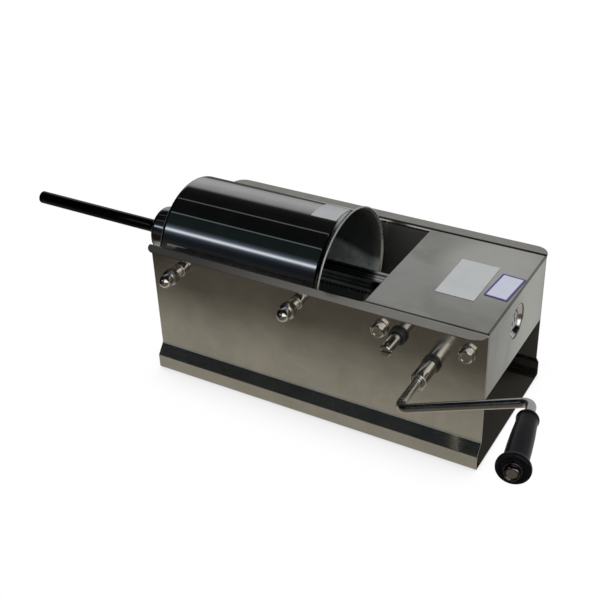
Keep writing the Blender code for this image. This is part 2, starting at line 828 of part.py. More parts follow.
def rack(mat):
    """Square bar with straight-sided teeth underneath, a gap standing over the pinion's top tooth."""
    pitch = math.pi * MODULE
    pitch_line = MAIN_Z + PINION_PITCH_R
    tip = pitch_line - ADDENDUM
    root = pitch_line + DEDENDUM
    slope = math.tan(PRESSURE)
    tooth = pitch / 2 - BACKLASH / 2
    front = PISTON_FACE + 2 * DISC + SEAL + 4 * GAP
    low = AXIS_Z - RACK_HALF
    under = []
    index = math.floor(-RACK_TRAVEL / pitch - 3)
    while (index + 0.5) * pitch < 5.5 * pitch:
        centre = MAIN_X + (index + 0.5) * pitch
        wide = tooth / 2 + DEDENDUM * slope
        thin = tooth / 2 - ADDENDUM * slope
        under += [(centre - wide, root), (centre - thin, tip), (centre + thin, tip), (centre + wide, root)]
        index += 1
    outline = [(front, low), (under[0][0] - 3 * MM, low), (under[0][0] - 3 * MM, root)]
    outline += under
    outline += [
        (under[-1][0] + 3 * MM, root),
        (under[-1][0] + 3 * MM, low),
        (RACK_REAR - 1 * MM, low),
        (RACK_REAR, low + 1 * MM),
        (RACK_REAR, AXIS_Z + RACK_HALF - 1 * MM),
        (RACK_REAR - 1 * MM, AXIS_Z + RACK_HALF),
        (front, AXIS_Z + RACK_HALF),
    ]
    ob = finish("rack", extruded(outline, -RACK_HALF, RACK_HALF), mat, rotation=OUT_OF_FRONT, smooth=0)
    cut(ob, "cutter_rack_end", drill(5.3 * MM, (front, 0, AXIS_Z), ALONG_X, 48 * MM, 24))
    return ob


def piston_front(mat):
    """Front disc with a recess for the bolt head."""
    back = PISTON_FACE + DISC
    profile = [
        (5.4 * MM, PISTON_FACE + 5.4 * MM),
        (10.4 * MM, PISTON_FACE + 5.4 * MM),
        (10.4 * MM, PISTON_FACE),
        (PISTON_R - 2.0 * MM, PISTON_FACE),
        (PISTON_R, PISTON_FACE + 2.0 * MM),
        (PISTON_R, back),
        (5.4 * MM, back),
    ]
    return finish("piston_front", turned(profile, 40, True), mat, (0, 0, AXIS_Z), ALONG_X)


def piston_seal(mat):
    near = PISTON_FACE + DISC + GAP
    far = near + SEAL
    profile = [
        (5.4 * MM, near),
        (SEAL_R - 0.6 * MM, near),
        (SEAL_R, near + 0.6 * MM),
        (SEAL_R, far - 0.6 * MM),
        (SEAL_R - 0.6 * MM, far),
        (5.4 * MM, far),
    ]
    return finish("piston_seal", turned(profile, 40, True), mat, (0, 0, AXIS_Z), ALONG_X)


def piston_back(mat):
    near = PISTON_FACE + DISC + SEAL + 2 * GAP
    far = near + DISC
    profile = [
        (5.4 * MM, near),
        (PISTON_R, near),
        (PISTON_R, far - 1.0 * MM),
        (PISTON_R - 1.0 * MM, far),
        (5.4 * MM, far),
    ]
    return finish("piston_back", turned(profile, 40, True), mat, (0, 0, AXIS_Z), ALONG_X)


def piston_bolt(mat):
    """Hexagon bolt that holds the piston on the end of the rack."""
    head = PISTON_FACE + 0.4 * MM
    seat = PISTON_FACE + 5.1 * MM
    flats = 15.6 * MM
    rings = [
        [(0, 0, head)],
        hexagon(flats, head, round_r=7.4 * MM),
        hexagon(flats, head + 0.9 * MM),
        hexagon(flats, seat),
        circle(5.0 * MM, seat, 24),
        circle(5.0 * MM, seat + 36.0 * MM, 24),
        [(0, 0, seat + 36.0 * MM)],
    ]
    return finish("piston_bolt", stacked(rings), mat, (0, 0, AXIS_Z), ALONG_X)


# ---------------------------------------------------------------- crank

def crank_path():
    """Centre line of the bent rod in the crank's own plane: out of the socket, along the arm, into the grip.

    The arm leans a little towards the machine on its way to the grip.
    """
    grip = Vector((math.sin(GRIP_TILT), -math.cos(GRIP_TILT), 0))
    elbow = Vector((0, -ARM_OUT, 0))
    shoulder = Vector((ARM_LENGTH, -ARM_OUT + ARM_LEAN, 0))
    inner = Vector((0, -SOCKET_OUT + 2.6 * MM, 0))
    points = [inner, elbow, shoulder, shoulder + grip * (GRIP_START + 88 * MM)]
    return rounded_corners(points, 13 * MM, 8)


def crank_rod(mat, parent):
    return finish("crank_rod", swept(crank_path(), ROD_R), mat, parent=parent)


def crank_socket(mat, parent):
    """Socket that slides on the shaft, with a small hole for the rod and a side hole for its screw."""
    step = SOCKET_OUT - 3.0 * MM
    profile = [
        (SHAFT_R + GAP, SOCKET_IN),
        (SOCKET_R - 1.2 * MM, SOCKET_IN),
        (SOCKET_R, SOCKET_IN + 1.2 * MM),
        (SOCKET_R, SOCKET_OUT - 1.2 * MM),
        (SOCKET_R - 1.2 * MM, SOCKET_OUT),
        (ROD_R + GAP, SOCKET_OUT),
        (ROD_R + GAP, step),
        (SHAFT_R + GAP, step),
    ]
    bm = turned(profile, 24, True)
    ob = finish("crank_socket", bm, mat, (0, 0, 0), OUT_OF_FRONT, parent=parent)
    side = drill(3.3 * MM, (MAIN_X, -119.4 * MM, MAIN_Z - 9 * MM), (0, 0, 0), 8 * MM, 24)
    cut(ob, "cutter_socket_side", side)
    return ob


def socket_screw(mat):
    """Knurled grub screw under the socket."""
    profile = [
        (0, 7.5 * MM),
        (3.0 * MM, 7.5 * MM),
        (3.0 * MM, 10.0 * MM),
        (4.2 * MM, 10.0 * MM),
        (4.2 * MM, 14.4 * MM),
        (3.6 * MM, 15.0 * MM),
        (2.0 * MM, 15.0 * MM),
        (2.0 * MM, 12.5 * MM),
        (0, 12.5 * MM),
    ]
    place = (MAIN_X, -119.4 * MM, MAIN_Z)
    return finish("socket_screw", turned(profile, 12), mat, place, (math.radians(180), 0, 0))


def on_grip(profile, name, mat, parent, rings=None, segments=28, loop=True):
    """Place a turned piece on the grip's axis, which starts at the crank's outer bend."""
    bm = stacked(rings, loop) if rings else turned(profile, segments, loop)
    rotation = (math.radians(90), 0, GRIP_TILT)
    return finish(name, bm, mat, (ARM_LENGTH, -ARM_OUT + ARM_LEAN, 0), rotation, parent=parent)


def grip(mat, parent):
    """Moulded grip: collar, waisted body and end flange with a shallow recess."""
    bore = ROD_R + 0.5 * MM
    profile = [
        (bore, GRIP_START),
        (9.4 * MM, GRIP_START),
        (10.9 * MM, GRIP_START + 1.8 * MM),
        (10.9 * MM, GRIP_START + 4.6 * MM),
        (10.0 * MM, GRIP_START + 7.0 * MM),
        (11.2 * MM, GRIP_START + 30.0 * MM),
        (11.6 * MM, GRIP_START + 72.0 * MM),
        (15.2 * MM, GRIP_START + 75.4 * MM),
        (16.2 * MM, GRIP_START + 77.0 * MM),
        (16.2 * MM, GRIP_START + 80.4 * MM),
        (15.0 * MM, GRIP_START + 82.0 * MM),
        (bore, GRIP_START + 82.0 * MM),
    ]
    return on_grip(profile, "grip", mat, parent)


def grip_washer(mat, parent):
    bore = ROD_R + GAP
    low = GRIP_START + 82.4 * MM
    high = low + 1.5 * MM
    profile = [(bore, low), (8.6 * MM, low), (8.6 * MM, high), (bore, high)]
    return on_grip(profile, "grip_washer", mat, parent, segments=24)


def grip_nut(mat, parent):
    bore = ROD_R + GAP
    flats = 13.6 * MM
    low = GRIP_START + 84.2 * MM
    high = low + 5.2 * MM
    rings = [
        circle(bore, low, 24),
        hexagon(flats, low),
        hexagon(flats, high - 0.8 * MM),
        hexagon(flats, high, round_r=6.7 * MM),
        circle(bore, high, 24),
    ]
    return on_grip(None, "grip_nut", mat, parent, rings)


def crank_axis():
    """Empty on the crank shaft's axis, turned so that its X points along the arm."""
    pivot = bpy.data.objects.new("crank_axis", None)
    bpy.context.scene.collection.objects.link(pivot)
    pivot.location = (MAIN_X, 0, MAIN_Z)
    pivot.rotation_euler = (0, -ARM_ANGLE, 0)
    return pivot


# ---------------------------------------------------------------- assembly

def build():
    for ob in list(bpy.data.objects):
        bpy.data.objects.remove(ob, do_unlink=True)
    satin = satin_steel()
    polished = polished_steel()
    bright = chrome()
    geared = gear_steel()
    gloss = black_plastic()
    nylon = black_nylon()
    pale = white_nylon()
    rubber = seal_rubber()
    paper = label_white()

    chassis(satin)
    cover(satin)
    flat_label("cover_label", paper, (154.9 * MM, 1.2 * MM), (46.0 * MM, 77.6 * MM), math.radians(-0.5))
    flat_label("small_label", paper, (197.5 * MM, 3.8 * MM), (28.0 * MM, 51.0 * MM), math.radians(-4.0))
    end_bush(bright)

    saddle("front_saddle", satin, CLAMP_X[0], BARREL_R + 0.6 * MM)
    saddle("rear_saddle", satin, BARREL_REAR - 1.8 * MM, RIM_R + 0.6 * MM)
    barrel(polished)
    barrel_neck(polished)
    tube_gasket(rubber)
    stuffing_tube(polished)
    ring_nut(polished)
    barrel_label(paper)

    for number, x in enumerate(CLAMP_X, 1):
        clamp_boss("clamp_%d_boss" % number, bright, x)
        clamp_stud("clamp_%d_stud" % number, bright, x)
        clamp_cap("clamp_%d_cap" % number, bright, x)

    frame_plate("front_frame_plate", geared, -1)
    frame_plate("rear_frame_plate", geared, 1)
    number = 1
    for side in (-1, 1):
        for x, z in BOLTS:
            spacer_sleeve("spacer_sleeve_%d" % number, geared, x, z, side)
            frame_washer("frame_washer_%d" % number, bright, x, z, side)
            frame_bolt("frame_bolt_%d" % number, bright, x, z, side)
            number += 1
    rack_guide(pale)
    backup_pad(pale)
    shaft_bush("crank_shaft_bush", nylon, MAIN_X, MAIN_Z)
    shaft_bush("stub_shaft_bush", nylon, STUB_X, STUB_Z)

    crank_shaft(polished)
    up = math.radians(90)
    gear("rack_pinion", geared, PINION_TEETH, up, 5.8 * MM, MAIN_X, MAIN_Z, -11 * MM, 11 * MM, 3)
    gear("large_gear", geared, LARGE_TEETH, STUB_ANGLE, 7.3 * MM, MAIN_X, MAIN_Z, 55 * MM, 65 * MM)
    shaft_clip(geared)
    stub_shaft(polished)
    facing = STUB_ANGLE + math.pi + math.pi / SMALL_TEETH
    gear("small_gear", geared, SMALL_TEETH, facing, 6.3 * MM, STUB_X, STUB_Z, 54 * MM, 66 * MM, 3)

    rack(polished)
    piston_front(pale)
    piston_seal(rubber)
    piston_back(pale)
    piston_bolt(bright)

    pivot = crank_axis()
    crank_socket(bright, pivot)
    crank_rod(bright, pivot)
    socket_screw(bright)
    grip(gloss, pivot)
    grip_washer(bright, pivot)
    grip_nut(bright, pivot)


build()
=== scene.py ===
import math

import bmesh
import bpy
from mathutils import Matrix, Vector


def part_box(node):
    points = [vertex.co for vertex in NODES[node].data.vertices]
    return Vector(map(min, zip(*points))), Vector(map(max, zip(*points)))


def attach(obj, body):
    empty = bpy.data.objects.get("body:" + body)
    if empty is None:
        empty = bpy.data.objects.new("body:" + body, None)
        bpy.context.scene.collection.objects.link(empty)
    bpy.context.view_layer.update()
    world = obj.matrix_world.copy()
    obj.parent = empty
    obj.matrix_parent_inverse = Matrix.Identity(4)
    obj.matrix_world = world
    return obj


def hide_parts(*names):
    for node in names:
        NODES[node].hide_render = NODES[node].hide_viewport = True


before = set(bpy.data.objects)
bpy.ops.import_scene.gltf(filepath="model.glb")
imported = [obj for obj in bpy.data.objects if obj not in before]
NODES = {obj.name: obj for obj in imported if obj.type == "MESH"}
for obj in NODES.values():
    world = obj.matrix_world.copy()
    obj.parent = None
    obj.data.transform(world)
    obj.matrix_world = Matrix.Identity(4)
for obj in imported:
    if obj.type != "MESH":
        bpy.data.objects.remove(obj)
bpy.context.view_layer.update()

MM = 0.001

# ---------------------------------------------------------------- places taken from the CAD

BARREL_LOW, BARREL_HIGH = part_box("barrel")
AXIS_Z = (BARREL_LOW.z + BARREL_HIGH.z) / 2
TABLE_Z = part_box("chassis")[0].z
WALL_Y = 90.0 * MM

ALONG_X = Matrix.Rotation(math.radians(90), 4, "Y")
OUT_OF_FRONT = Matrix.Rotation(math.radians(90), 4, "X")
OUT_OF_REAR = Matrix.Rotation(math.radians(-90), 4, "X")


def centre(node):
    low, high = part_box(node)
    return (low + high) / 2


# ---------------------------------------------------------------- mesh tools

def rounded(points, radius, steps=4, closed=True):
    """Round the corners of an outline or an open path. radius is one number or one for each corner."""
    count = len(points)
    radii = radius if isinstance(radius, (list, tuple)) else [radius] * count
    path = []
    for i, p in enumerate(points):
        here = Vector(p)
        r = radii[i]
        if r <= 0 or (not closed and i in (0, count - 1)):
            path.append(tuple(here))
            continue
        before = Vector(points[i - 1]) - here
        after = Vector(points[(i + 1) % count]) - here
        half = before.angle(after) / 2
        if half > math.radians(86):
            path.append(tuple(here))
            continue
        reach = r / math.tan(half)
        limit = 0.48 * min(before.length, after.length)
        if reach > limit:
            r *= limit / reach
            reach = limit
        a, b = before.normalized(), after.normalized()
        middle = here + (a + b).normalized() * (r / math.sin(half))
        start = here + a * reach - middle
        stop = here + b * reach - middle
        sweep = start.angle(stop)
        for k in range(steps + 1):
            t = k / steps
            mix = start * math.sin((1 - t) * sweep) + stop * math.sin(t * sweep)
            path.append(tuple(middle + mix / math.sin(sweep)))
    return path


def skin(rings, loop=False):
    """Skin rings of equal point counts. A one-point ring is a pole; loop joins the last ring to the first."""
    bm = bmesh.new()
    layers = [[bm.verts.new(p) for p in ring] for ring in rings]
    count = max(len(layer) for layer in layers)
    pairs = list(zip(layers, layers[1:]))
    if loop:
        pairs.append((layers[-1], layers[0]))
    for low, high in pairs:
        for i in range(count):
            j = (i + 1) % count
            unique = list(dict.fromkeys(
                (low[i % len(low)], low[j % len(low)], high[j % len(high)], high[i % len(high)])))
            if len(unique) > 2:
                bm.faces.new(unique)
    if not loop:
        for layer in (layers[0], layers[-1]):
            if len(layer) > 2:
                bm.faces.new(layer)
    return bm


def ring(radius, h, segments):
    """One ring; radius is a number or a function of the angle."""
    if not callable(radius) and radius < 1e-7:
        return [(0.0, 0.0, h)]
    points = []
    for i in range(segments):
        angle = math.tau * i / segments
        r = radius(angle) if callable(radius) else radius
        points.append((r * math.cos(angle), r * math.sin(angle), h))
    return points


def lathe(profile, segments=96, loop=True):
    """Turn a (radius, height) profile about Z."""
    return skin([ring(r, h, segments) for r, h in profile], loop)


def hexagon(flats, cap):
    """Radius of a hexagon by angle, its corners slightly blunt, cut to the radius cap by a turned chamfer."""
    blunt = flats / math.sqrt(3) - 0.4 * MM

    def radius(angle):
        off = (angle + math.pi / 6) % (math.pi / 3) - math.pi / 6
        return min(flats / 2 / math.cos(off), blunt, cap)
    return radius


def thread(radius, depth, pitch, low, high, segments, per_turn):
    """Outer rings of a helical thread that runs out at both ends."""
    count = max(2, round((high - low) / pitch * per_turn))
    rings = []
    for k in range(count + 1):
        h = low + (high - low) * k / count
        fade = max(0.0, min(1.0, (h - low) / pitch, (high - h) / pitch))

        def at(angle, h=h, fade=fade):
            phase = (h / pitch - angle / math.tau) % 1.0
            groove = 1.0 - abs(2.0 * phase - 1.0)
            return radius - depth * fade * groove
        rings.append(ring(at, h, segments))
    return rings


def arc_profile(radius, h, middle_r, start, stop, steps):
    """Points of an arc in the (radius, height) plane."""
    points = []
    for k in range(steps + 1):
        angle = math.radians(start + (stop - start) * k / steps)
        points.append((middle_r + radius * math.cos(angle), h + radius * math.sin(angle)))
    return points


def smooth_curve(points, per_span=8):
    """A smooth profile through the given points."""
    path = []
    last = len(points) - 1
    for i in range(last):
        p0, p1 = Vector(points[max(i - 1, 0)]), Vector(points[i])
        p2, p3 = Vector(points[i + 1]), Vector(points[min(i + 2, last)])
        for k in range(per_span):
            t = k / per_span
            path.append(tuple(0.5 * (
                2 * p1 + (p2 - p0) * t + (2 * p0 - 5 * p1 + 4 * p2 - p3) * t * t
                + (3 * p1 - p0 - 3 * p2 + p3) * t ** 3)))
    path.append(tuple(points[-1]))
    return path


def swept(path, radius, segments):
    """Sweep a circle along a path in the local XY plane, with flat ends."""
    rings = []
    up = Vector((0, 0, 1))
    last = len(path) - 1
    for i, p in enumerate(path):
        here = Vector(p)
        back = (here - Vector(path[i - 1])).normalized() if i > 0 else None
        ahead = (Vector(path[i + 1]) - here).normalized() if i < last else None
        back = back or ahead
        ahead = ahead or back
        along = (back + ahead).normalized()
        side = along.cross(up) * (radius / max(0.5, along.dot(ahead)))
        angles = [math.tau * k / segments for k in range(segments)]
        rings.append([here + side * math.cos(a) + up * (radius * math.sin(a)) for a in angles])
    return skin(rings)


SMOOTH_ANGLE = 34.0


def piece(name, bm, mat, body, node, place, smooth=SMOOTH_ANGLE):
    """Finish a closed bmesh as a piece that rides on a body and stands for a CAD node."""
    bmesh.ops.transform(bm, matrix=place, verts=bm.verts)
    bmesh.ops.remove_doubles(bm, verts=bm.verts, dist=1e-7)
    bmesh.ops.recalc_face_normals(bm, faces=bm.faces)
    mesh = bpy.data.meshes.new(name)
    bm.to_mesh(mesh)
    bm.free()
    mesh.shade_smooth()
    mesh.set_sharp_from_angle(angle=math.radians(smooth))
    ob = bpy.data.objects.new(name, mesh)
    bpy.context.scene.collection.objects.link(ob)
    mesh.materials.append(mat)
    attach(ob, body)
    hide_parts(node)
    return ob


# ---------------------------------------------------------------- node trees

BLACK = (0, 0, 0)


def rgb(value, tint=(1, 1, 1)):
    return (value * tint[0], value * tint[1], value * tint[2], 1.0)


class Nodes:
    """Small helper that builds a node tree. Inputs are numbers, colours or other nodes' sockets."""

    def __init__(self, tree):
        self.tree = tree

    def set(self, socket, value):
        if isinstance(value, bpy.types.NodeSocket):
            self.tree.links.new(value, socket)
        elif isinstance(value, tuple) and socket.type == "RGBA" and len(value) == 3:
            socket.default_value = (*value, 1.0)
        else:
            socket.default_value = value

    def fill(self, node, values):
        for key, value in values.items():
            self.set(node.inputs[key.replace("_", " ")], value)

    def new(self, kind, **values):
        node = self.tree.nodes.new("ShaderNode" + kind)
        self.fill(node, values)
        return node

    def axes(self, source):
        return self.new("SeparateXYZ", Vector=source).outputs

    def maths(self, operation, a, b=0.0, c=0.0):
        node = self.new("Math")
        node.operation = operation
        for socket, value in zip(node.inputs, (a, b, c)):
            self.set(socket, value)
        return node.outputs[0]

    def times(self, a, b):
        return self.maths("MULTIPLY", a, b)

    def minus(self, a, b):
        return self.maths("SUBTRACT", a, b)

    def spread(self, value, low, high, to_low, to_high):
        """Smooth step from to_low to to_high while the value goes from low to high."""
        node = self.new("MapRange", Value=value, From_Min=low, From_Max=high, To_Min=to_low, To_Max=to_high)
        node.interpolation_type = "SMOOTHSTEP"
        return node.outputs["Result"]

    def rise(self, value, low, high):
        return self.spread(value, low, high, 0.0, 1.0)

    def fall(self, value, low, high):
        return self.spread(value, low, high, 1.0, 0.0)

    def mix(self, factor, a, b, kind="MIX"):
        node = self.new("Mix")
        node.data_type = "RGBA"
        node.blend_type = kind
        self.set(node.inputs["Factor"], factor)
        first, second = (s for s in node.inputs if s.type == "RGBA")
        self.set(first, a)
        self.set(second, b)
        return next(s for s in node.outputs if s.type == "RGBA")

    def ramp(self, value, stops):
        """Colour ramp. A stop is a position from 0 to 1, a brightness and, if it isn't grey, a tint."""
        node = self.new("ValToRGB", Fac=value)
        elements = node.color_ramp.elements
        elements.remove(elements[1])
        elements[0].position = stops[0][0]
        elements[0].color = rgb(*stops[0][1:])
        for position, *look in stops[1:]:
            elements.new(position).color = rgb(*look)
        return node.outputs["Color"]

    def by_ray(self, camera, mirror, other):
        """One shader for the camera's own view, one for what metal mirrors and one for soft light."""
        path = self.new("LightPath")
        result = other
        for ray, shader in (("Is Glossy Ray", mirror), ("Is Camera Ray", camera)):
            node = self.new("MixShader")
            for socket, value in zip(node.inputs, (path.outputs[ray], result.outputs[0], shader.outputs[0])):
                self.set(socket, value)
            result = node
        return result.outputs[0]


class Shader(Nodes):
    """Node tree of one material, placed by the object's coordinates, which are the row frame's."""

    def __init__(self, name):
        self.mat = bpy.data.materials.new(name)
        self.mat.use_nodes = True
        super().__init__(self.mat.node_tree)
        self.bsdf = self.tree.nodes["Principled BSDF"]
        self.place = self.new("TexCoord").outputs["Object"]

    def into(self, **values):
        self.fill(self.bsdf, values)

    def tone(self):
        """What drives the base colour so far."""
        return self.bsdf.inputs["Base Color"].links[0].from_socket

    def here(self):
        return self.axes(self.place)

    def stretched(self, scale, rotation=(0, 0, 0), location=(0, 0, 0)):
        node = self.new("Mapping", Vector=self.place, Scale=scale, Rotation=rotation, Location=location)
        return node.outputs["Vector"]

    def noise(self, vector, scale=1.0, detail=3.0, roughness=0.5, distortion=0.0):
        node = self.new("TexNoise", Vector=vector, Scale=scale, Detail=detail, Roughness=roughness,
                        Distortion=distortion)
        return node.outputs["Fac"]

    def bump(self, height, distance, normal=None):
        node = self.new("Bump", Strength=1.0, Distance=distance, Height=height)
        if normal is not None:
            self.set(node.inputs["Normal"], normal)
        return node.outputs["Normal"]


# ---------------------------------------------------------------- metals

SHEET_GRAIN = (5, 260, 260)


def grain_lines(s, grain):
    return s.noise(s.stretched(grain), detail=4.0, roughness=0.6)


def sheet_wave(s, depth, normal=None):
    """Slow waves of a sheet that isn't perfectly flat."""
    return s.bump(s.noise(s.stretched((7, 9, 14)), detail=2.0, roughness=0.4), depth, normal)


def metal(name, colour, rough, grain, grain_height=0.0, wave=0.0, smudge=0.5, dirt=0.0):
    """Steel with a brushed or polished grain, faint smudges in its roughness and a slightly wavy sheet.

    grain is the grain's scale per metre along each axis; grain_height and wave are heights in metres.
    """
    s = Shader(name)
    lines = grain_lines(s, grain)
    cloud = s.noise(s.place, scale=22.0, detail=4.0, roughness=0.55, distortion=0.6)
    fine = s.noise(s.place, scale=140.0, detail=3.0, roughness=0.6)
    wiped = s.maths("MULTIPLY_ADD", cloud, 0.7, s.times(fine, 0.3))
    level = s.spread(wiped, 0.35, 0.68, rough * (1 - 0.35 * smudge), rough * (1 + 0.9 * smudge))
    s.into(Roughness=s.times(level, s.spread(lines, 0.3, 0.7, 0.88, 1.12)), Metallic=1.0)
    dull = tuple(c * (0.86 - dirt) for c in colour)
    grey = tuple(c * 0.93 for c in colour)
    tone = s.mix(s.rise(wiped, 0.30, 0.66), dull, colour)
    s.into(Base_Color=s.mix(s.spread(lines, 0.25, 0.75, 0.0, 0.5), tone, grey))
    normal = sheet_wave(s, wave) if wave else None
    if grain_height:
        normal = s.bump(lines, grain_height, normal)
    if normal is not None:
        s.into(Normal=normal)
    return s


def satin_sheet():
    """Folded sheet. Its ledges lean, painted shade darkens its front lip to the left, and its inside is dull,
    with painted shade that is darkest at its top.
    """
    s = metal("satin_sheet", (0.47, 0.455, 0.42), 0.13, SHEET_GRAIN, smudge=0.35, dirt=0.04)
    x, y, z = s.here()
    out = s.maths("ABSOLUTE", y)

    lean_in, lean_up = -0.12, 0.145
    ledge_height = s.times(s.rise(z, 18.5 * MM, 19.2 * MM), s.fall(z, 31.8 * MM, 32.5 * MM))
    ledge = s.times(ledge_height, s.rise(out, WALL_Y + 0.5 * MM, WALL_Y + 1.2 * MM))
    inward = s.times(s.maths("SIGN", y), lean_in)
    lean = s.new("CombineXYZ", Y=s.times(inward, ledge), Z=s.times(ledge, lean_up))
    total = s.new("VectorMath")
    s.set(total.inputs[0], s.new("NewGeometry").outputs["Normal"])
    s.set(total.inputs[1], lean.outputs[0])
    unit = s.new("VectorMath")
    unit.operation = "NORMALIZE"
    s.set(unit.inputs[0], total.outputs[0])
    wave = sheet_wave(s, 4e-4, unit.outputs[0])
    s.into(Normal=s.bump(grain_lines(s, SHEET_GRAIN), 1.2e-6, wave))

    # Painted shade on the front lip: its colour darkens towards the left end.
    front_lip = s.times(s.fall(y, -WALL_Y - 1.5 * MM, -WALL_Y), s.rise(z, 175.2 * MM, 175.7 * MM))
    painted_lip_shade = s.mix(s.spread(x, -190 * MM, 150 * MM, 0.14, 0.92), BLACK, s.tone())
    tone = s.mix(front_lip, s.tone(), painted_lip_shade)
    # Painted shade inside the channel: a dark colour, darkest towards the top, on a less metallic surface.
    inside = s.times(s.fall(out, WALL_Y - 1.5 * MM, WALL_Y - 0.7 * MM), s.fall(z, 168 * MM, 172 * MM))
    depth = s.mix(s.rise(z, 100 * MM, 118 * MM), (0.11, 0.10, 0.085), (0.014, 0.012, 0.010))
    s.into(Base_Color=s.mix(inside, tone, depth), Metallic=s.minus(0.98, s.times(inside, 0.5)))
    return s.mat


def cover_sheet():
    """Sheet of the cover: cloudy, with a painted pale patch of light, painted shade in dark lines at its end
    plate's top fold and front gap, and painted shade across the end plate.
    """
    s = metal("cover_sheet", (0.405, 0.40, 0.377), 0.19, SHEET_GRAIN, grain_height=1.2e-6, wave=2e-4,
              smudge=0.35, dirt=0.04)
    cloud = s.noise(s.stretched((9, 14, 14)), distortion=0.7)
    tone = s.mix(s.rise(cloud, 0.36, 0.62), s.tone(), (0.46, 0.46, 0.437))
    x, y, z = s.here()
    # Painted light: a pale patch on the cover, its edge broken up by the cloud.
    painted_light_middle, painted_light_half = (172 * MM, 40 * MM), (62 * MM, 75 * MM)
    off_x = s.maths("DIVIDE", s.minus(x, painted_light_middle[0]), painted_light_half[0])
    off_y = s.maths("DIVIDE", s.minus(y, painted_light_middle[1]), painted_light_half[1])
    off = s.maths("MULTIPLY_ADD", off_x, off_x, s.times(off_y, off_y))
    off = s.maths("MULTIPLY_ADD", cloud, 1.2, s.minus(off, 0.6))
    tone = s.mix(s.fall(off, 0.0, 1.5), tone, (0.62, 0.62, 0.585))
    # Painted shade: dark lines along the end plate's top fold and the gap at its front edge, and shade across
    # the end plate, darkest at the front.
    painted_fold_shade = s.spread(z, 172.8 * MM, 173.8 * MM, 0.0, 0.6)
    painted_gap_shade = s.spread(y, -86.8 * MM, -87.6 * MM, 0.0, 0.8)
    shade = s.spread(y, -90 * MM, 50 * MM, 0.34, 0.06)
    dark = s.maths("MAXIMUM", s.maths("MAXIMUM", painted_fold_shade, painted_gap_shade), shade)
    end_plate = s.rise(x, 213.2 * MM, 213.8 * MM)
    s.into(Base_Color=s.mix(s.times(end_plate, dark), tone, BLACK), Metallic=0.90)
    return s.mat


def inner_steel():
    """Inside of the cylinder: scoured and stained, and nearly black with painted shade except on a slanting
    patch deep in it.
    """
    s = metal("inner_steel", (0.78, 0.84, 0.80), 0.34, (60, 60, 60), smudge=0.9, dirt=0.2)
    stain = s.noise(s.place, scale=26.0, detail=5.0, roughness=0.62, distortion=1.4)
    tone = s.mix(s.rise(stain, 0.40, 0.60), (0.42, 0.46, 0.44), s.tone())
    x, y, z = s.here()
    slant = 0.3
    level = s.maths("MULTIPLY_ADD", s.maths("ADD", x, 30 * MM), slant, z)
    # Painted shade: outside a slanting patch deep in the cylinder the colour is nearly black; the patch keeps
    # the stained tone.
    lit = s.times(s.fall(level, 127 * MM, 138 * MM), s.rise(z, 92 * MM, 104 * MM))
    s.into(Base_Color=s.mix(lit, (0.085, 0.095, 0.088), tone), Metallic=0.32)
    return s.mat


def rim_steel():
    """Ground edge of the cylinder."""
    s = metal("rim_steel", (0.50, 0.495, 0.475), 0.26, (90, 90, 90), smudge=0.2)
    s.into(Metallic=0.62)
    return s.mat


def bar_steel():
    """Bar steel with long light and dark streaks along it."""
    s = metal("bar_steel", (0.50, 0.51, 0.53), 0.10, (5, 500, 500), grain_height=1e-6, smudge=0.6)
    streak = s.noise(s.stretched((0.8, 210, 210), location=(3.0, 1.7, 0.4)), detail=1.0, roughness=0.4)
    s.into(Base_Color=s.mix(s.rise(streak, 0.44, 0.56), (0.06, 0.065, 0.07), s.tone()))
    return s.mat


# ---------------------------------------------------------------- plastics and paper

def plastic(name, colour, rough, grain, height, pale, shine=0.5):
    """Moulded plastic: flow clouds up to pale times as light, a fine skin texture and rubbed patches."""
    s = Shader(name)
    cloud = s.noise(s.place, scale=60.0)
    texture = s.noise(s.place, scale=grain, detail=2.0)
    rubbed = s.noise(s.place, scale=180.0, detail=4.0, roughness=0.65, distortion=0.3)
    paler = tuple(min(1.0, c * pale) for c in colour)
    s.into(Base_Color=s.mix(s.rise(cloud, 0.35, 0.65), colour, paler),
           Roughness=s.spread(rubbed, 0.35, 0.7, rough * 0.8, rough * 1.5),
           Normal=s.bump(texture, height), Specular_IOR_Level=shine)
    return s.mat


def paper(name, colour):
    """Blank label stock with a faint fibre, slightly shiny."""
    s = Shader(name)
    fibre = s.noise(s.place, scale=900.0, detail=4.0, roughness=0.6)
    cloud = s.noise(s.place, scale=45.0, detail=2.0)
    tone = s.mix(s.rise(fibre, 0.3, 0.7), colour, tuple(v * 0.93 for v in colour))
    tone = s.mix(s.spread(cloud, 0.4, 0.75, 0.0, 0.5), tone, tuple(v * 0.88 for v in colour))
    s.into(Base_Color=tone, Roughness=s.spread(fibre, 0.3, 0.7, 0.30, 0.42), Normal=s.bump(fibre, 4e-6))
    return s


SATIN = satin_sheet()
COVER = cover_sheet()
BARREL = metal("barrel_steel", (0.62, 0.63, 0.62), 0.04, (3, 500, 500), grain_height=4e-7, smudge=0.6).mat
INNER = inner_steel()
RIM = rim_steel()
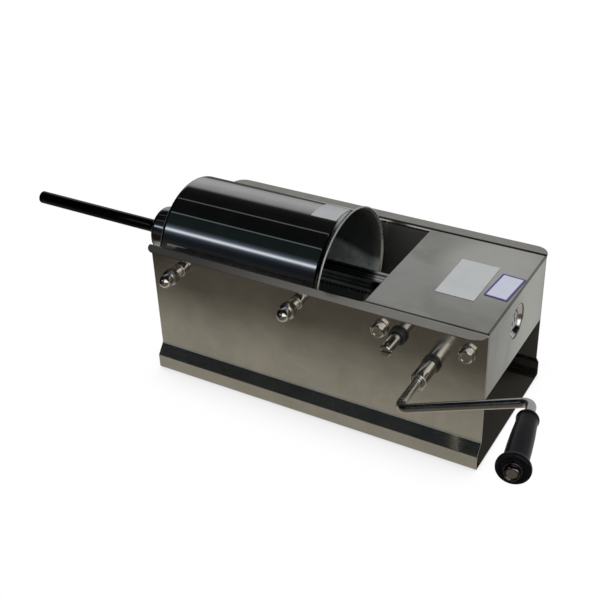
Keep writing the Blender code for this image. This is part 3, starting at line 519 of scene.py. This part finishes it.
# Painted shade: the tube's steel colour is nearly black, as the polished tube mirrors only dark surroundings.
TUBE = metal("tube_steel", (0.06, 0.06, 0.062), 0.10, (4, 400, 400), smudge=0.7).mat
NUT = metal("nut_steel", (0.52, 0.53, 0.56), 0.07, (400, 400, 400), smudge=0.7).mat
POLISHED = metal("polished_steel", (0.60, 0.59, 0.575), 0.07, (700, 700, 700), smudge=0.7).mat
CHROME = metal("chrome", (0.70, 0.69, 0.68), 0.06, (900, 900, 900), smudge=0.8).mat
BAR = bar_steel()
GEAR = metal("gear_steel", (0.34, 0.34, 0.35), 0.34, (160, 160, 160), grain_height=6e-6, dirt=0.1).mat
DARK = metal("dark_steel", (0.17, 0.17, 0.18), 0.10, (700, 700, 700), smudge=0.7).mat
ROD = metal("rod_steel", (0.62, 0.61, 0.60), 0.19, (500, 500, 500)).mat
GRIP = plastic("gloss_black", (0.003, 0.003, 0.004), 0.15, 900.0, 3e-6, 1.6, 0.12)
NYLON_BLACK = plastic("black_nylon", (0.012, 0.012, 0.012), 0.34, 1400.0, 1.5e-5, 1.6)
NYLON_WHITE = plastic("white_nylon", (0.74, 0.73, 0.69), 0.42, 1100.0, 1e-5, 1.06)
RUBBER = plastic("seal_rubber", (0.62, 0.60, 0.54), 0.55, 1500.0, 2e-5, 1.08)


def dress(node, mat, bevel, segments):
    """Give a carried-over CAD node its material and small rounded edges."""
    ob = NODES[node]
    for i in range(len(ob.data.materials)):
        ob.data.materials[i] = mat
    weld = ob.modifiers.new("weld", "WELD")
    weld.merge_threshold = 2e-6
    edges = ob.modifiers.new("edges", "BEVEL")
    edges.width = bevel
    edges.segments = segments
    edges.limit_method = "ANGLE"
    edges.angle_limit = math.radians(35)
    edges.harden_normals = True


# ---------------------------------------------------------------- labels

def add_border(s, node, size, angle, width, colour):
    """Plain printed border inside the edges of a label that is turned about Z."""
    middle = centre(node)
    c, n = math.cos(-angle), math.sin(-angle)
    turned = s.axes(s.stretched((1, 1, 1), rotation=(0, 0, -angle)))
    off_x = s.minus(turned["X"], c * middle.x - n * middle.y)
    off_y = s.minus(turned["Y"], n * middle.x + c * middle.y)
    in_x = s.minus(size[0] / 2, s.maths("ABSOLUTE", off_x))
    in_y = s.minus(size[1] / 2, s.maths("ABSOLUTE", off_y))
    inset = s.maths("MINIMUM", in_x, in_y)
    s.into(Base_Color=s.mix(s.fall(inset, width * 0.85, width * 1.15), s.tone(), colour))


def dress_labels():
    papers = {
        "cover_label": paper("cover_paper", (0.43, 0.44, 0.435)),
        "small_label": paper("small_paper", (0.50, 0.51, 0.60)),
        "barrel_label": paper("barrel_paper", (0.36, 0.37, 0.37)),
    }
    add_border(papers["small_label"], "small_label", (28 * MM, 51 * MM), math.radians(-4), 2.3 * MM,
               (0.07, 0.05, 0.19))
    for node, s in papers.items():
        NODES[node].data.materials[0] = s.mat


# ---------------------------------------------------------------- cylinder unit

AXIS = Matrix.Translation((0, 0, AXIS_Z)) @ ALONG_X
BARREL_R = 79.6 * MM
RIM_R = 86.6 * MM
RIM_WIDTH = 2.4 * MM
INNER_FROM = 68 * MM
SHOULDER = 7.0 * MM


def make_barrel():
    front, rear = BARREL_LOW.x, BARREL_HIGH.x
    wall = 1.4 * MM
    bore = BARREL_R - wall
    hole = 19.5 * MM
    outer = arc_profile(SHOULDER, front + SHOULDER, BARREL_R - SHOULDER, -90, 0, 12)
    inner = arc_profile(SHOULDER - wall, front + SHOULDER, BARREL_R - SHOULDER, 0, -90, 10)
    flare_out, flare_in = [], []
    for k in range(15):
        t = k / 14
        grown = (RIM_R - BARREL_R) * t * t
        along = rear - 1.2 * MM - 11 * MM * (1 - t)
        flare_out.append((BARREL_R + grown, along))
        flare_in.append((bore + grown - 0.6 * MM * t, along + 0.7 * MM * t))
    edge = [flare_out[-1], (RIM_R + 0.1 * MM, rear - 0.1 * MM), (RIM_R - 1.2 * MM, rear + 0.1 * MM),
            flare_in[-1]]
    edge = rounded(edge, [0, 0.55 * MM, 0.55 * MM, 0], 4, False)[1:-1]
    outside = [(hole, front)] + outer + flare_out + edge
    inside = flare_in[::-1] + inner + [(hole, front + wall)]
    bm = lathe(outside + inside, 192)
    ob = piece("fine_barrel", bm, BARREL, "barrel_unit", "barrel", AXIS, 40)
    ob.data.materials.append(INNER)
    ob.data.materials.append(RIM)
    for face in ob.data.polygons:
        c = face.center
        radial = Vector((0, c.y, c.z - AXIS_Z))
        inward = radial.dot(face.normal) < -0.3 * radial.length
        if c.x > rear - RIM_WIDTH:
            face.material_index = 2
        elif inward and radial.length > INNER_FROM:
            face.material_index = 1


def make_neck():
    low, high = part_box("barrel_neck")
    bore = 19 * MM
    root, crest, collar_r = 23 * MM, 24 * MM, 28 * MM
    back = high.x - 5 * MM
    collar = [(crest, back), (collar_r - 0.6 * MM, back), (collar_r, back + 1 * MM), (collar_r, high.x),
              (bore, high.x)]
    collar = rounded(collar, [0, 0.8 * MM, 0.8 * MM, 0.3 * MM, 0.3 * MM], 4, False)
    mouth = [(bore, low.x + 0.4 * MM), (bore + 0.4 * MM, low.x), (root, low.x)]
    rings = [ring(r, h, 96) for r, h in collar + mouth]
    rings += thread(crest, 0.9 * MM, 3 * MM, low.x + 0.8 * MM, high.x - 7.5 * MM, 96, 10)
    piece("fine_neck", skin(rings, True), POLISHED, "barrel_unit", "barrel_neck", AXIS, 50)


def make_gasket():
    low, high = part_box("tube_gasket")
    inner, outer = 19.4 * MM, 23.4 * MM
    profile = rounded([(inner, low.x), (outer, low.x), (outer, high.x), (inner, high.x)], 0.4 * MM)
    piece("fine_gasket", lathe(profile), RUBBER, "barrel_unit", "tube_gasket", AXIS)


def make_tube():
    low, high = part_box("stuffing_tube")
    tip, near = low.x, high.x
    flange_r, bore = 23.6 * MM, 7.3 * MM
    far = near - 3.1 * MM
    flange = [(14 * MM, near), (flange_r, near), (flange_r, far), (15.4 * MM, far)]
    flange = rounded(flange, [0, 0.5 * MM, 0.5 * MM, 1.0 * MM], 3, False)[:-1]
    funnel = smooth_curve([(15.4 * MM, far), (14.6 * MM, far - 6 * MM), (10.2 * MM, far - 14 * MM),
                           (8.5 * MM, far - 19 * MM), (8.3 * MM, far - 26 * MM)])
    end = [(8.3 * MM, tip + 0.5 * MM), (8.1 * MM, tip + 0.1 * MM), (7.8 * MM, tip),
           (7.5 * MM, tip + 0.1 * MM), (bore, tip + 0.5 * MM)]
    inside = [(bore, far - 16 * MM), (13 * MM, far - 4 * MM)]
    piece("fine_tube", lathe(flange + funnel + end + inside, 64), TUBE, "tube",
          "stuffing_tube", AXIS)


def make_ring_nut():
    low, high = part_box("ring_nut")
    rear, front = high.x, low.x
    bore, hole = 24.4 * MM, 16.2 * MM
    outer = (high.y - low.y) / 2
    round_r = 6 * MM
    seat = front + 4.9 * MM
    profile = [(bore, rear), (outer - 0.4 * MM, rear), (outer, rear - 1 * MM), (outer, front + round_r)]
    profile += arc_profile(round_r, front + round_r, outer - round_r, -9, -90, 9)
    profile += [(hole + 0.4 * MM, front), (hole, front + 0.4 * MM), (hole, seat), (bore, seat)]
    piece("fine_ring_nut", lathe(profile, 128), NUT, "nut", "ring_nut", AXIS, 30)


# ---------------------------------------------------------------- fasteners

def outward(node, side=-1):
    """Matrix that stands local Z on the wall at the node, pointing out, with its zero on the middle plane."""
    c = centre(node)
    return Matrix.Translation((c.x, 0, c.z)) @ (OUT_OF_FRONT if side < 0 else OUT_OF_REAR)


def reach(node, side=-1):
    """Nearest and farthest distance of a node from the middle plane."""
    low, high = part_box(node)
    return (-high.y, -low.y) if side < 0 else (low.y, high.y)


def make_clamps():
    for n in (1, 2):
        boss, stud, cap = ("clamp_%d_%s" % (n, part) for part in ("boss", "stud", "cap"))
        near, far = reach(boss)
        bore, outer = 5.3 * MM, 8.0 * MM
        outline = [(bore, near), (outer, near), (outer, far), (bore, far)]
        profile = rounded(outline, [0.2 * MM, 0.3 * MM, 1.1 * MM, 0.4 * MM], 5)
        piece("fine_" + boss, lathe(profile, 64), CHROME, "frame", boss, outward(boss))

        near, far = reach(stud)
        crest = 5 * MM
        foot = [(0, near), (2.6 * MM, near), (3.4 * MM, near + 0.3 * MM), (crest, near + 1.8 * MM)]
        rings = [ring(r, h, 48) for r, h in foot]
        rings += thread(crest, 0.55 * MM, 1.5 * MM, near + 2.4 * MM, far - 0.6 * MM, 48, 8)
        rings += [ring(4.6 * MM, far, 48), ring(0, far, 48)]
        piece("fine_" + stud, skin(rings), POLISHED, "clamp_%d_screw" % n, stud, outward(stud), 60)

        near, far = reach(cap)
        flats, dome = 18 * MM, 7.9 * MM
        bottom = near + 12.8 * MM
        hole = [(0, bottom), (bore, bottom), (bore, near + 0.4 * MM), (5.8 * MM, near), (8.6 * MM, near)]
        rings = [ring(r, h, 96) for r, h in hole]
        for k in range(5):
            t = k / 4
            rings.append(ring(hexagon(flats, (9.1 + 1.2 * t) * MM), near + (0.1 + 0.75 * t) * MM, 96))
        for k in range(7):
            t = k / 6
            rings.append(ring(hexagon(flats, (10.3 - 2.2 * t) * MM), near + (8.2 + 1.25 * t) * MM, 96))
        rings += [ring(dome, near + 9.7 * MM, 96), ring(dome, far - dome, 96)]
        for k in range(1, 13):
            angle = math.radians(90) * k / 12
            r = dome * math.cos(angle) if k < 12 else 0
            rings.append(ring(r, far - dome + dome * math.sin(angle), 96))
        piece("fine_" + cap, skin(rings), CHROME, "clamp_%d_head" % n, cap, outward(cap), 24)


def make_frame_fasteners():
    for n in range(1, 5):
        side = -1 if n < 3 else 1
        bolt, washer = "frame_bolt_%d" % n, "frame_washer_%d" % n
        near, far = reach(bolt, side)
        flats, shank = 15.6 * MM, 5 * MM
        seat = far - 6.4 * MM
        dimple = far - 0.35 * MM
        shaft = [(0, near), (4.2 * MM, near), (shank, near + 0.9 * MM), (shank, seat), (7.3 * MM, seat)]
        rings = [ring(r, h, 72) for r, h in shaft]
        for k in range(3):
            rings.append(ring(hexagon(flats, (7.6 + 0.65 * k) * MM), seat + (0.1 + 0.25 * k) * MM, 72))
        for k in range(7):
            t = k / 6
            rings.append(ring(hexagon(flats, (8.9 - 1.8 * t) * MM), far - (1.25 - 1.1 * t) * MM, 72))
        top = [(6.8 * MM, far), (5.2 * MM, far), (4.8 * MM, dimple), (0, dimple)]
        rings += [ring(r, h, 72) for r, h in top]
        piece("fine_" + bolt, skin(rings), CHROME, "frame", bolt, outward(bolt, side), 24)

        near, far = reach(washer, side)
        hole, outer = 5.4 * MM, 9.6 * MM
        profile = rounded([(hole, near), (outer, near), (outer, far), (hole, far)], 0.35 * MM, 3)
        piece("fine_" + washer, lathe(profile, 64), CHROME, "frame", washer, outward(washer, side))


# ---------------------------------------------------------------- shafts and bushes

def make_bushes():
    for node in ("crank_shaft_bush", "stub_shaft_bush"):
        near, far = reach(node)
        wall = far - 4.6 * MM
        bore, body, flange = 7.3 * MM, 9.2 * MM, 10.6 * MM
        outline = [(bore, near), (body, near), (body, wall), (flange, wall), (flange, far), (bore, far)]
        profile = rounded(outline, [0.2 * MM, 0.3 * MM, 0, 0.3 * MM, 1.0 * MM, 0.4 * MM], 4)
        piece("fine_" + node, lathe(profile, 72), NYLON_BLACK, "frame", node, outward(node))


def make_crank_shaft():
    near, far = reach("crank_shaft")
    thin, thick = 5.5 * MM, 7 * MM
    step = near + 44 * MM
    profile = [(0, near), (4.9 * MM, near), (thin, near + 0.6 * MM), (thin, step), (6.7 * MM, step),
               (thick, step + 0.3 * MM), (thick, far - 1 * MM), (6.7 * MM, far - 0.4 * MM), (6.1 * MM, far),
               (0, far)]
    piece("fine_crank_shaft", lathe(profile, 72, False), POLISHED, "main_shaft",
          "crank_shaft", outward("crank_shaft"))


def make_end_bush():
    low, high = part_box("end_bush")
    bore, outer = 16.6 * MM, 26 * MM
    outline = [(bore, low.x), (outer, low.x), (outer, high.x), (20.6 * MM, high.x),
               (19.6 * MM, high.x - 1.6 * MM), (17.4 * MM, high.x - 4.4 * MM), (bore, high.x - 5.8 * MM)]
    profile = rounded(outline, [0.8 * MM, 0.5 * MM, 0.3 * MM, 0.4 * MM, 1.5 * MM, 1.5 * MM, 0.8 * MM], 5)
    piece("fine_end_bush", lathe(profile, 128), CHROME, "frame", "end_bush", AXIS)


# ---------------------------------------------------------------- piston

def make_piston():
    hole, recess = 5.4 * MM, 10.4 * MM
    for node, mat, slot, radius in (
        ("piston_front", NYLON_WHITE, "white_nylon", 77.2 * MM),
        ("piston_seal", RUBBER, "seal_rubber", 77.8 * MM),
        ("piston_back", NYLON_WHITE, "white_nylon", 77.2 * MM),
    ):
        low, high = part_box(node)
        outline = [(hole, low.x), (radius, low.x), (radius, high.x), (hole, high.x)]
        radii = [0.1 * MM, 0.5 * MM, 0.9 * MM, 0.1 * MM]
        if node == "piston_front":
            seat = low.x + 5.4 * MM
            outline = [(hole, seat), (recess, seat), (recess, low.x)] + outline[1:]
            radii = [0.1 * MM, 0.6 * MM, 0.8 * MM, 2.4 * MM, 0.3 * MM, 0.1 * MM]
        profile = rounded(outline, radii, 6)
        piece("fine_" + node, lathe(profile, 160), mat, "rack_and_piston", node, AXIS)


# ---------------------------------------------------------------- crank

ARM_ANGLE = math.radians(22.0)
ARM_LENGTH = 150.4 * MM
ARM_OUT = 178.0 * MM
ARM_LEAN = 3.2 * MM
GRIP_TILT = math.radians(11.2)
GRIP_SHIFT = 7.5 * MM
ROD_R = 5.0 * MM
SHAFT = centre("crank_shaft")
CRANK = Matrix.Translation((SHAFT.x, 0, SHAFT.z)) @ Matrix.Rotation(-ARM_ANGLE, 4, "Y")
ARM_END = Vector((ARM_LENGTH, -ARM_OUT + ARM_LEAN, 0))
ON_GRIP = (CRANK @ Matrix.Translation(ARM_END) @ Matrix.Rotation(GRIP_TILT, 4, "Z")
           @ OUT_OF_FRONT @ Matrix.Translation((0, 0, GRIP_SHIFT)))


def bake(ob):
    """Apply an object's modifiers to its own mesh."""
    bpy.context.view_layer.update()
    done = bpy.data.meshes.new_from_object(ob.evaluated_get(bpy.context.evaluated_depsgraph_get()))
    ob.modifiers.clear()
    ob.data = done
    ob.data.shade_smooth()
    ob.data.set_sharp_from_angle(angle=math.radians(SMOOTH_ANGLE))


def make_socket():
    near, far = reach("crank_socket")
    step = far - 3 * MM
    bore, outer, neck = 7.3 * MM, 9.6 * MM, 5.3 * MM
    outline = [(bore, near), (outer, near), (outer, far), (neck, far), (neck, step), (bore, step)]
    profile = rounded(outline, [0.3 * MM, 1.2 * MM, 1.5 * MM, 0.3 * MM, 0, 0], 5)
    ob = piece("fine_socket", lathe(profile, 96), CHROME, "crank", "crank_socket",
               outward("crank_socket"))
    screw = centre("socket_screw")
    tool = bpy.data.meshes.new("socket_drill")
    drill_r, drill_length = 3.3 * MM, 12 * MM
    drill = lathe([(0, 0), (drill_r, 0), (drill_r, drill_length), (0, drill_length)], 48, False)
    place = Matrix.Translation((screw.x, screw.y, SHAFT.z - 15 * MM))
    bmesh.ops.transform(drill, matrix=place, verts=drill.verts)
    bmesh.ops.recalc_face_normals(drill, faces=drill.faces)
    drill.to_mesh(tool)
    drill.free()
    cutter = bpy.data.objects.new("socket_drill", tool)
    bpy.context.scene.collection.objects.link(cutter)
    hole = ob.modifiers.new("side_hole", "BOOLEAN")
    hole.operation = "DIFFERENCE"
    hole.solver = "EXACT"
    hole.object = cutter
    bake(ob)
    bpy.data.objects.remove(cutter, do_unlink=True)


def knurl(angle):
    return (4.1 + 0.1 * math.cos(24 * angle)) * MM


def make_socket_screw():
    low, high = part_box("socket_screw")
    c = centre("socket_screw")
    top, foot = SHAFT.z - high.z, SHAFT.z - low.z
    shank = 3 * MM
    tip = foot - 2.5 * MM
    profile = [(0, top), (2.6 * MM, top), (shank, top + 0.4 * MM), (shank, top + 2.5 * MM),
               (3.7 * MM, top + 2.5 * MM), (knurl, top + 3 * MM), (knurl, foot - 0.9 * MM), (3.4 * MM, foot),
               (2.1 * MM, foot), (2 * MM, tip), (0, tip)]
    place = Matrix.Translation((c.x, c.y, SHAFT.z)) @ Matrix.Rotation(math.pi, 4, "X")
    piece("fine_socket_screw", lathe(profile, 96, False), CHROME, "crank", "socket_screw",
          place, 30)


def make_rod():
    near, corner = Vector((0, -123.4 * MM, 0)), Vector((0, -ARM_OUT, 0))
    along = Vector((math.sin(GRIP_TILT), -math.cos(GRIP_TILT), 0))
    path = rounded([near, corner, ARM_END, ARM_END + along * 115.5 * MM], 13 * MM, 16, False)
    piece("fine_rod", swept(path, ROD_R, 40), ROD, "crank", "crank_rod", CRANK, 40)


def make_grip():
    """Grip, turned from its near end to the flange at its far end and back through its recess and bore."""
    bore = ROD_R + 0.5 * MM
    near, far = 20 * MM, 102 * MM
    body = smooth_curve([
        (9.4 * MM, near), (10.7 * MM, 21.2 * MM), (10.9 * MM, 23.4 * MM), (10.2 * MM, 26.4 * MM),
        (10.3 * MM, 34 * MM), (11.1 * MM, 50 * MM), (11.6 * MM, 70 * MM), (11.7 * MM, 90 * MM),
        (12.6 * MM, 93.4 * MM), (15.3 * MM, 95.6 * MM), (16.2 * MM, 98.4 * MM), (15.9 * MM, 100.8 * MM),
        (14.6 * MM, far)])
    recess = [(14.6 * MM, far), (12.2 * MM, far), (11.6 * MM, far - 0.6 * MM), (9.4 * MM, far - 0.6 * MM),
              (9.0 * MM, far), (bore, far)]
    recess = rounded(recess, [0, 0.2 * MM, 0.2 * MM, 0.1 * MM, 0.1 * MM, 0], 2, False)
    profile = body + recess[1:] + [(bore, near)]
    piece("fine_grip", lathe(profile, 96), GRIP, "handle", "grip", ON_GRIP, 40)


def make_grip_end():
    bore = ROD_R + 0.3 * MM
    low, high, outer = 102.4 * MM, 103.9 * MM, 8.6 * MM
    outline = [(bore, low), (outer, low), (outer, high), (bore, high)]
    piece("fine_grip_washer", lathe(rounded(outline, 0.3 * MM, 3), 72), DARK, "crank",
          "grip_washer", ON_GRIP)

    low, high, flats = 104.2 * MM, 109.4 * MM, 13.6 * MM
    chamfer = 0.4 * MM
    hole = [(bore, high - chamfer), (bore, low + chamfer), (bore + chamfer, low), (6.5 * MM, low)]
    rings = [ring(r, h, 72) for r, h in hole]
    for k in range(3):
        rings.append(ring(hexagon(flats, (6.7 + 0.5 * k) * MM), low + (0.08 + 0.25 * k) * MM, 72))
    for k in range(5):
        rings.append(ring(hexagon(flats, (7.7 - 0.3 * k) * MM), high - (1.0 - 0.22 * k) * MM, 72))
    rings += [ring(6.2 * MM, high, 72), ring(bore + chamfer, high, 72)]
    piece("fine_grip_nut", skin(rings, True), DARK, "crank", "grip_nut", ON_GRIP, 24)


# ---------------------------------------------------------------- assembly

def dress_cad_nodes():
    """Nodes whose CAD shape is kept: material, width of the edge's round in mm, and its segments."""
    for mat, width, segments, nodes in (
        (SATIN, 0.25, 2, ["chassis"]),
        (COVER, 0.25, 2, ["cover"]),
        (SATIN, 0.3, 2, ["front_saddle", "rear_saddle"]),
        (BAR, 0.25, 1, ["rack"]),
        (CHROME, 0.3, 2, ["piston_bolt"]),
        (POLISHED, 0.3, 2, ["stub_shaft"]),
        (GEAR, 0.2, 2, ["shaft_clip"]),
        (GEAR, 0.4, 2, ["front_frame_plate", "rear_frame_plate"]),
        (GEAR, 0.15, 1, ["rack_pinion", "large_gear", "small_gear"]),
        (GEAR, 0.3, 2, ["spacer_sleeve_%d" % n for n in range(1, 5)]),
        (NYLON_WHITE, 0.5, 2, ["rack_guide", "backup_pad"]),
    ):
        for node in nodes:
            dress(node, mat, width * MM, segments)


def build():
    dress_cad_nodes()
    dress_labels()
    make_barrel()
    make_neck()
    make_gasket()
    make_tube()
    make_ring_nut()
    make_clamps()
    make_frame_fasteners()
    make_bushes()
    make_crank_shaft()
    make_end_bush()
    make_piston()
    make_socket()
    make_socket_screw()
    make_rod()
    make_grip()
    make_grip_end()


# ---------------------------------------------------------------- studio

COOL = (0.68, 1.0, 1.0)
BLUE = (0.84, 1.0, 1.34)
WARM = (1.05, 1.0, 0.90)

# What metal mirrors around the X axis: degrees from straight up towards the front, brightness and tint.
CEILING = (
    (-180, 0.20), (-95, 0.30), (-82, 0.46), (-72, 0.50), (-64, 0.48), (-57, 0.41), (-51, 0.37), (-46.5, 0.28),
    (-44.5, 0.19), (-41.5, 0.032), (-37, 0.012, WARM), (-25, 0.008), (0, 0.006), (18, 0.007, COOL),
    (26, 0.017, COOL), (40, 0.018, COOL), (62, 0.018, BLUE), (72, 0.014, BLUE), (80, 0.028), (90, 0.05, WARM),
    (100, 0.12, WARM), (180, 0.20))
LAMPS = (
    (-180, 0), (-10.9, 0), (-10.2, 0.42), (-9.5, 0), (20.4, 0), (21.0, 0.26), (21.6, 0), (42.5, 0),
    (47.0, 0.06, BLUE), (49.5, 0.15, BLUE), (51.3, 0.42, BLUE), (53.0, 1.05), (54.6, 1.1), (56.5, 0.36, BLUE),
    (58.2, 0.08, BLUE), (61.0, 0.03, BLUE), (65.0, 0), (180, 0))
WINDOW = (
    (-180, 0), (14, 0), (30, 1.2, WARM), (66, 1.5, WARM), (82, 0.15), (96, 0), (180, 0))

# How each of them fades along X: position from 0 at -X to 1 at +X, and brightness.
CEILING_LENGTH = ((0.09, 0.04), (0.17, 1))
LAMP_LENGTH = ((0.172, 0), (0.182, 1), (0.40, 1), (0.50, 0))
WINDOW_LENGTH = ((0.50, 0), (0.64, 1))


def studio_world():
    """White room for the camera; metal mirrors a soft ceiling, long lamps and a window on the right."""
    world = bpy.data.worlds.new("studio")
    bpy.context.scene.world = world
    world.use_nodes = True
    world.node_tree.nodes.clear()
    w = Nodes(world.node_tree)
    x, y, z = w.axes(w.new("TexCoord").outputs["Generated"])
    angle = w.maths("ARCTAN2", w.times(y, -1.0), z)
    around = w.maths("ADD", w.maths("DIVIDE", angle, math.tau), 0.5)
    along = w.maths("ADD", w.times(x, 0.5), 0.5)
    room = None
    for stops, length in ((CEILING, CEILING_LENGTH), (LAMPS, LAMP_LENGTH), (WINDOW, WINDOW_LENGTH)):
        band = w.ramp(around, [((degrees + 180) / 360, *look) for degrees, *look in stops])
        part = w.mix(1.0, band, w.ramp(along, length), "MULTIPLY")
        room = part if room is None else w.mix(1.0, room, part, "ADD")
    seen = w.new("Background", Color=(1, 1, 1))
    mirrored = w.new("Background", Color=room)
    soft = w.new("Background", Color=(0.95, 0.97, 1.0), Strength=0.55)
    w.new("OutputWorld", Surface=w.by_ray(seen, mirrored, soft))


def floor_material():
    """White to the eye with a soft contact shade; metal mirrors a worktop that is darker farther in front."""
    s = Shader("floor")
    s.tree.nodes.remove(s.bsdf)
    contact = s.new("AmbientOcclusion", Distance=90 * MM)
    contact.samples = 8
    seen = s.new("Emission", Strength=s.spread(contact.outputs["AO"], 0.25, 0.92, 0.70, 1.0))
    x, y, z = s.here()
    wobble = 90 * MM
    patch = s.noise(s.stretched((5, 6, 1)), distortion=0.8)
    away = s.minus(s.times(y, -1.0), WALL_Y)
    away = s.maths("MULTIPLY_ADD", patch, wobble, s.minus(away, wobble / 2))
    worktop = s.mix(s.rise(away, 55 * MM, 182 * MM), (0.455, 0.43, 0.365), (0.115, 0.102, 0.078))
    worktop = s.mix(s.rise(y, -20 * MM, 120 * MM), worktop, (0.52, 0.52, 0.50))
    worktop = s.mix(s.spread(x, -430 * MM, -340 * MM, 0.85, 0.0), worktop, BLACK)
    mirrored = s.new("Emission", Color=worktop)
    soft = s.new("BsdfDiffuse", Color=(0.7, 0.7, 0.68))
    s.set(s.tree.nodes["Material Output"].inputs["Surface"], s.by_ray(seen, mirrored, soft))
    return s.mat


def studio_floor():
    bm = bmesh.new()
    bmesh.ops.create_circle(bm, cap_ends=True, segments=96, radius=6.0)
    bmesh.ops.translate(bm, vec=(0, 0, TABLE_Z - 0.5 * MM), verts=bm.verts)
    mesh = bpy.data.meshes.new("floor")
    bm.to_mesh(mesh)
    bm.free()
    mesh.materials.append(floor_material())
    ob = bpy.data.objects.new("floor", mesh)
    bpy.context.scene.collection.objects.link(ob)


def soft_light(name, place, size, watts):
    """Round lamp that shines on the machine's middle and isn't mirrored in its metal."""
    data = bpy.data.lights.new(name, "AREA")
    data.shape = "DISK"
    data.size = size
    data.energy = watts
    ob = bpy.data.objects.new(name, data)
    bpy.context.scene.collection.objects.link(ob)
    ob.location = place
    ob.rotation_mode = "QUATERNION"
    ob.rotation_quaternion = (Vector((0, 0, 0.09)) - Vector(place)).to_track_quat("-Z", "Y")
    ob.visible_glossy = False


# The camera was fitted to the chassis edges of the photo.
CAMERA_PLACE = (0.52315, -0.97663, 0.81222)
CAMERA_RIGHT = Vector((0.86726, 0.49665, -0.03472))
CAMERA_UP = Vector((-0.24154, 0.48070, 0.84298))
LENS, SENSOR = 65.064, 36.0


def studio_camera():
    data = bpy.data.cameras.new("camera")
    data.lens = LENS
    data.sensor_width = SENSOR
    data.clip_start = 0.05
    ob = bpy.data.objects.new("camera", data)
    bpy.context.scene.collection.objects.link(ob)
    back = CAMERA_RIGHT.cross(CAMERA_UP)
    turn = Matrix((CAMERA_RIGHT, CAMERA_UP, back)).transposed().to_4x4()
    ob.matrix_world = Matrix.Translation(CAMERA_PLACE) @ turn
    bpy.context.scene.camera = ob


def studio():
    bpy.context.scene.view_settings.view_transform = "Standard"
    studio_world()
    studio_floor()
    soft_light("key", (-0.4, -1.2, 1.5), 1.2, 22)
    soft_light("fill", (1.2, 0.6, 1.2), 1.0, 8)
    studio_camera()


build()
studio()
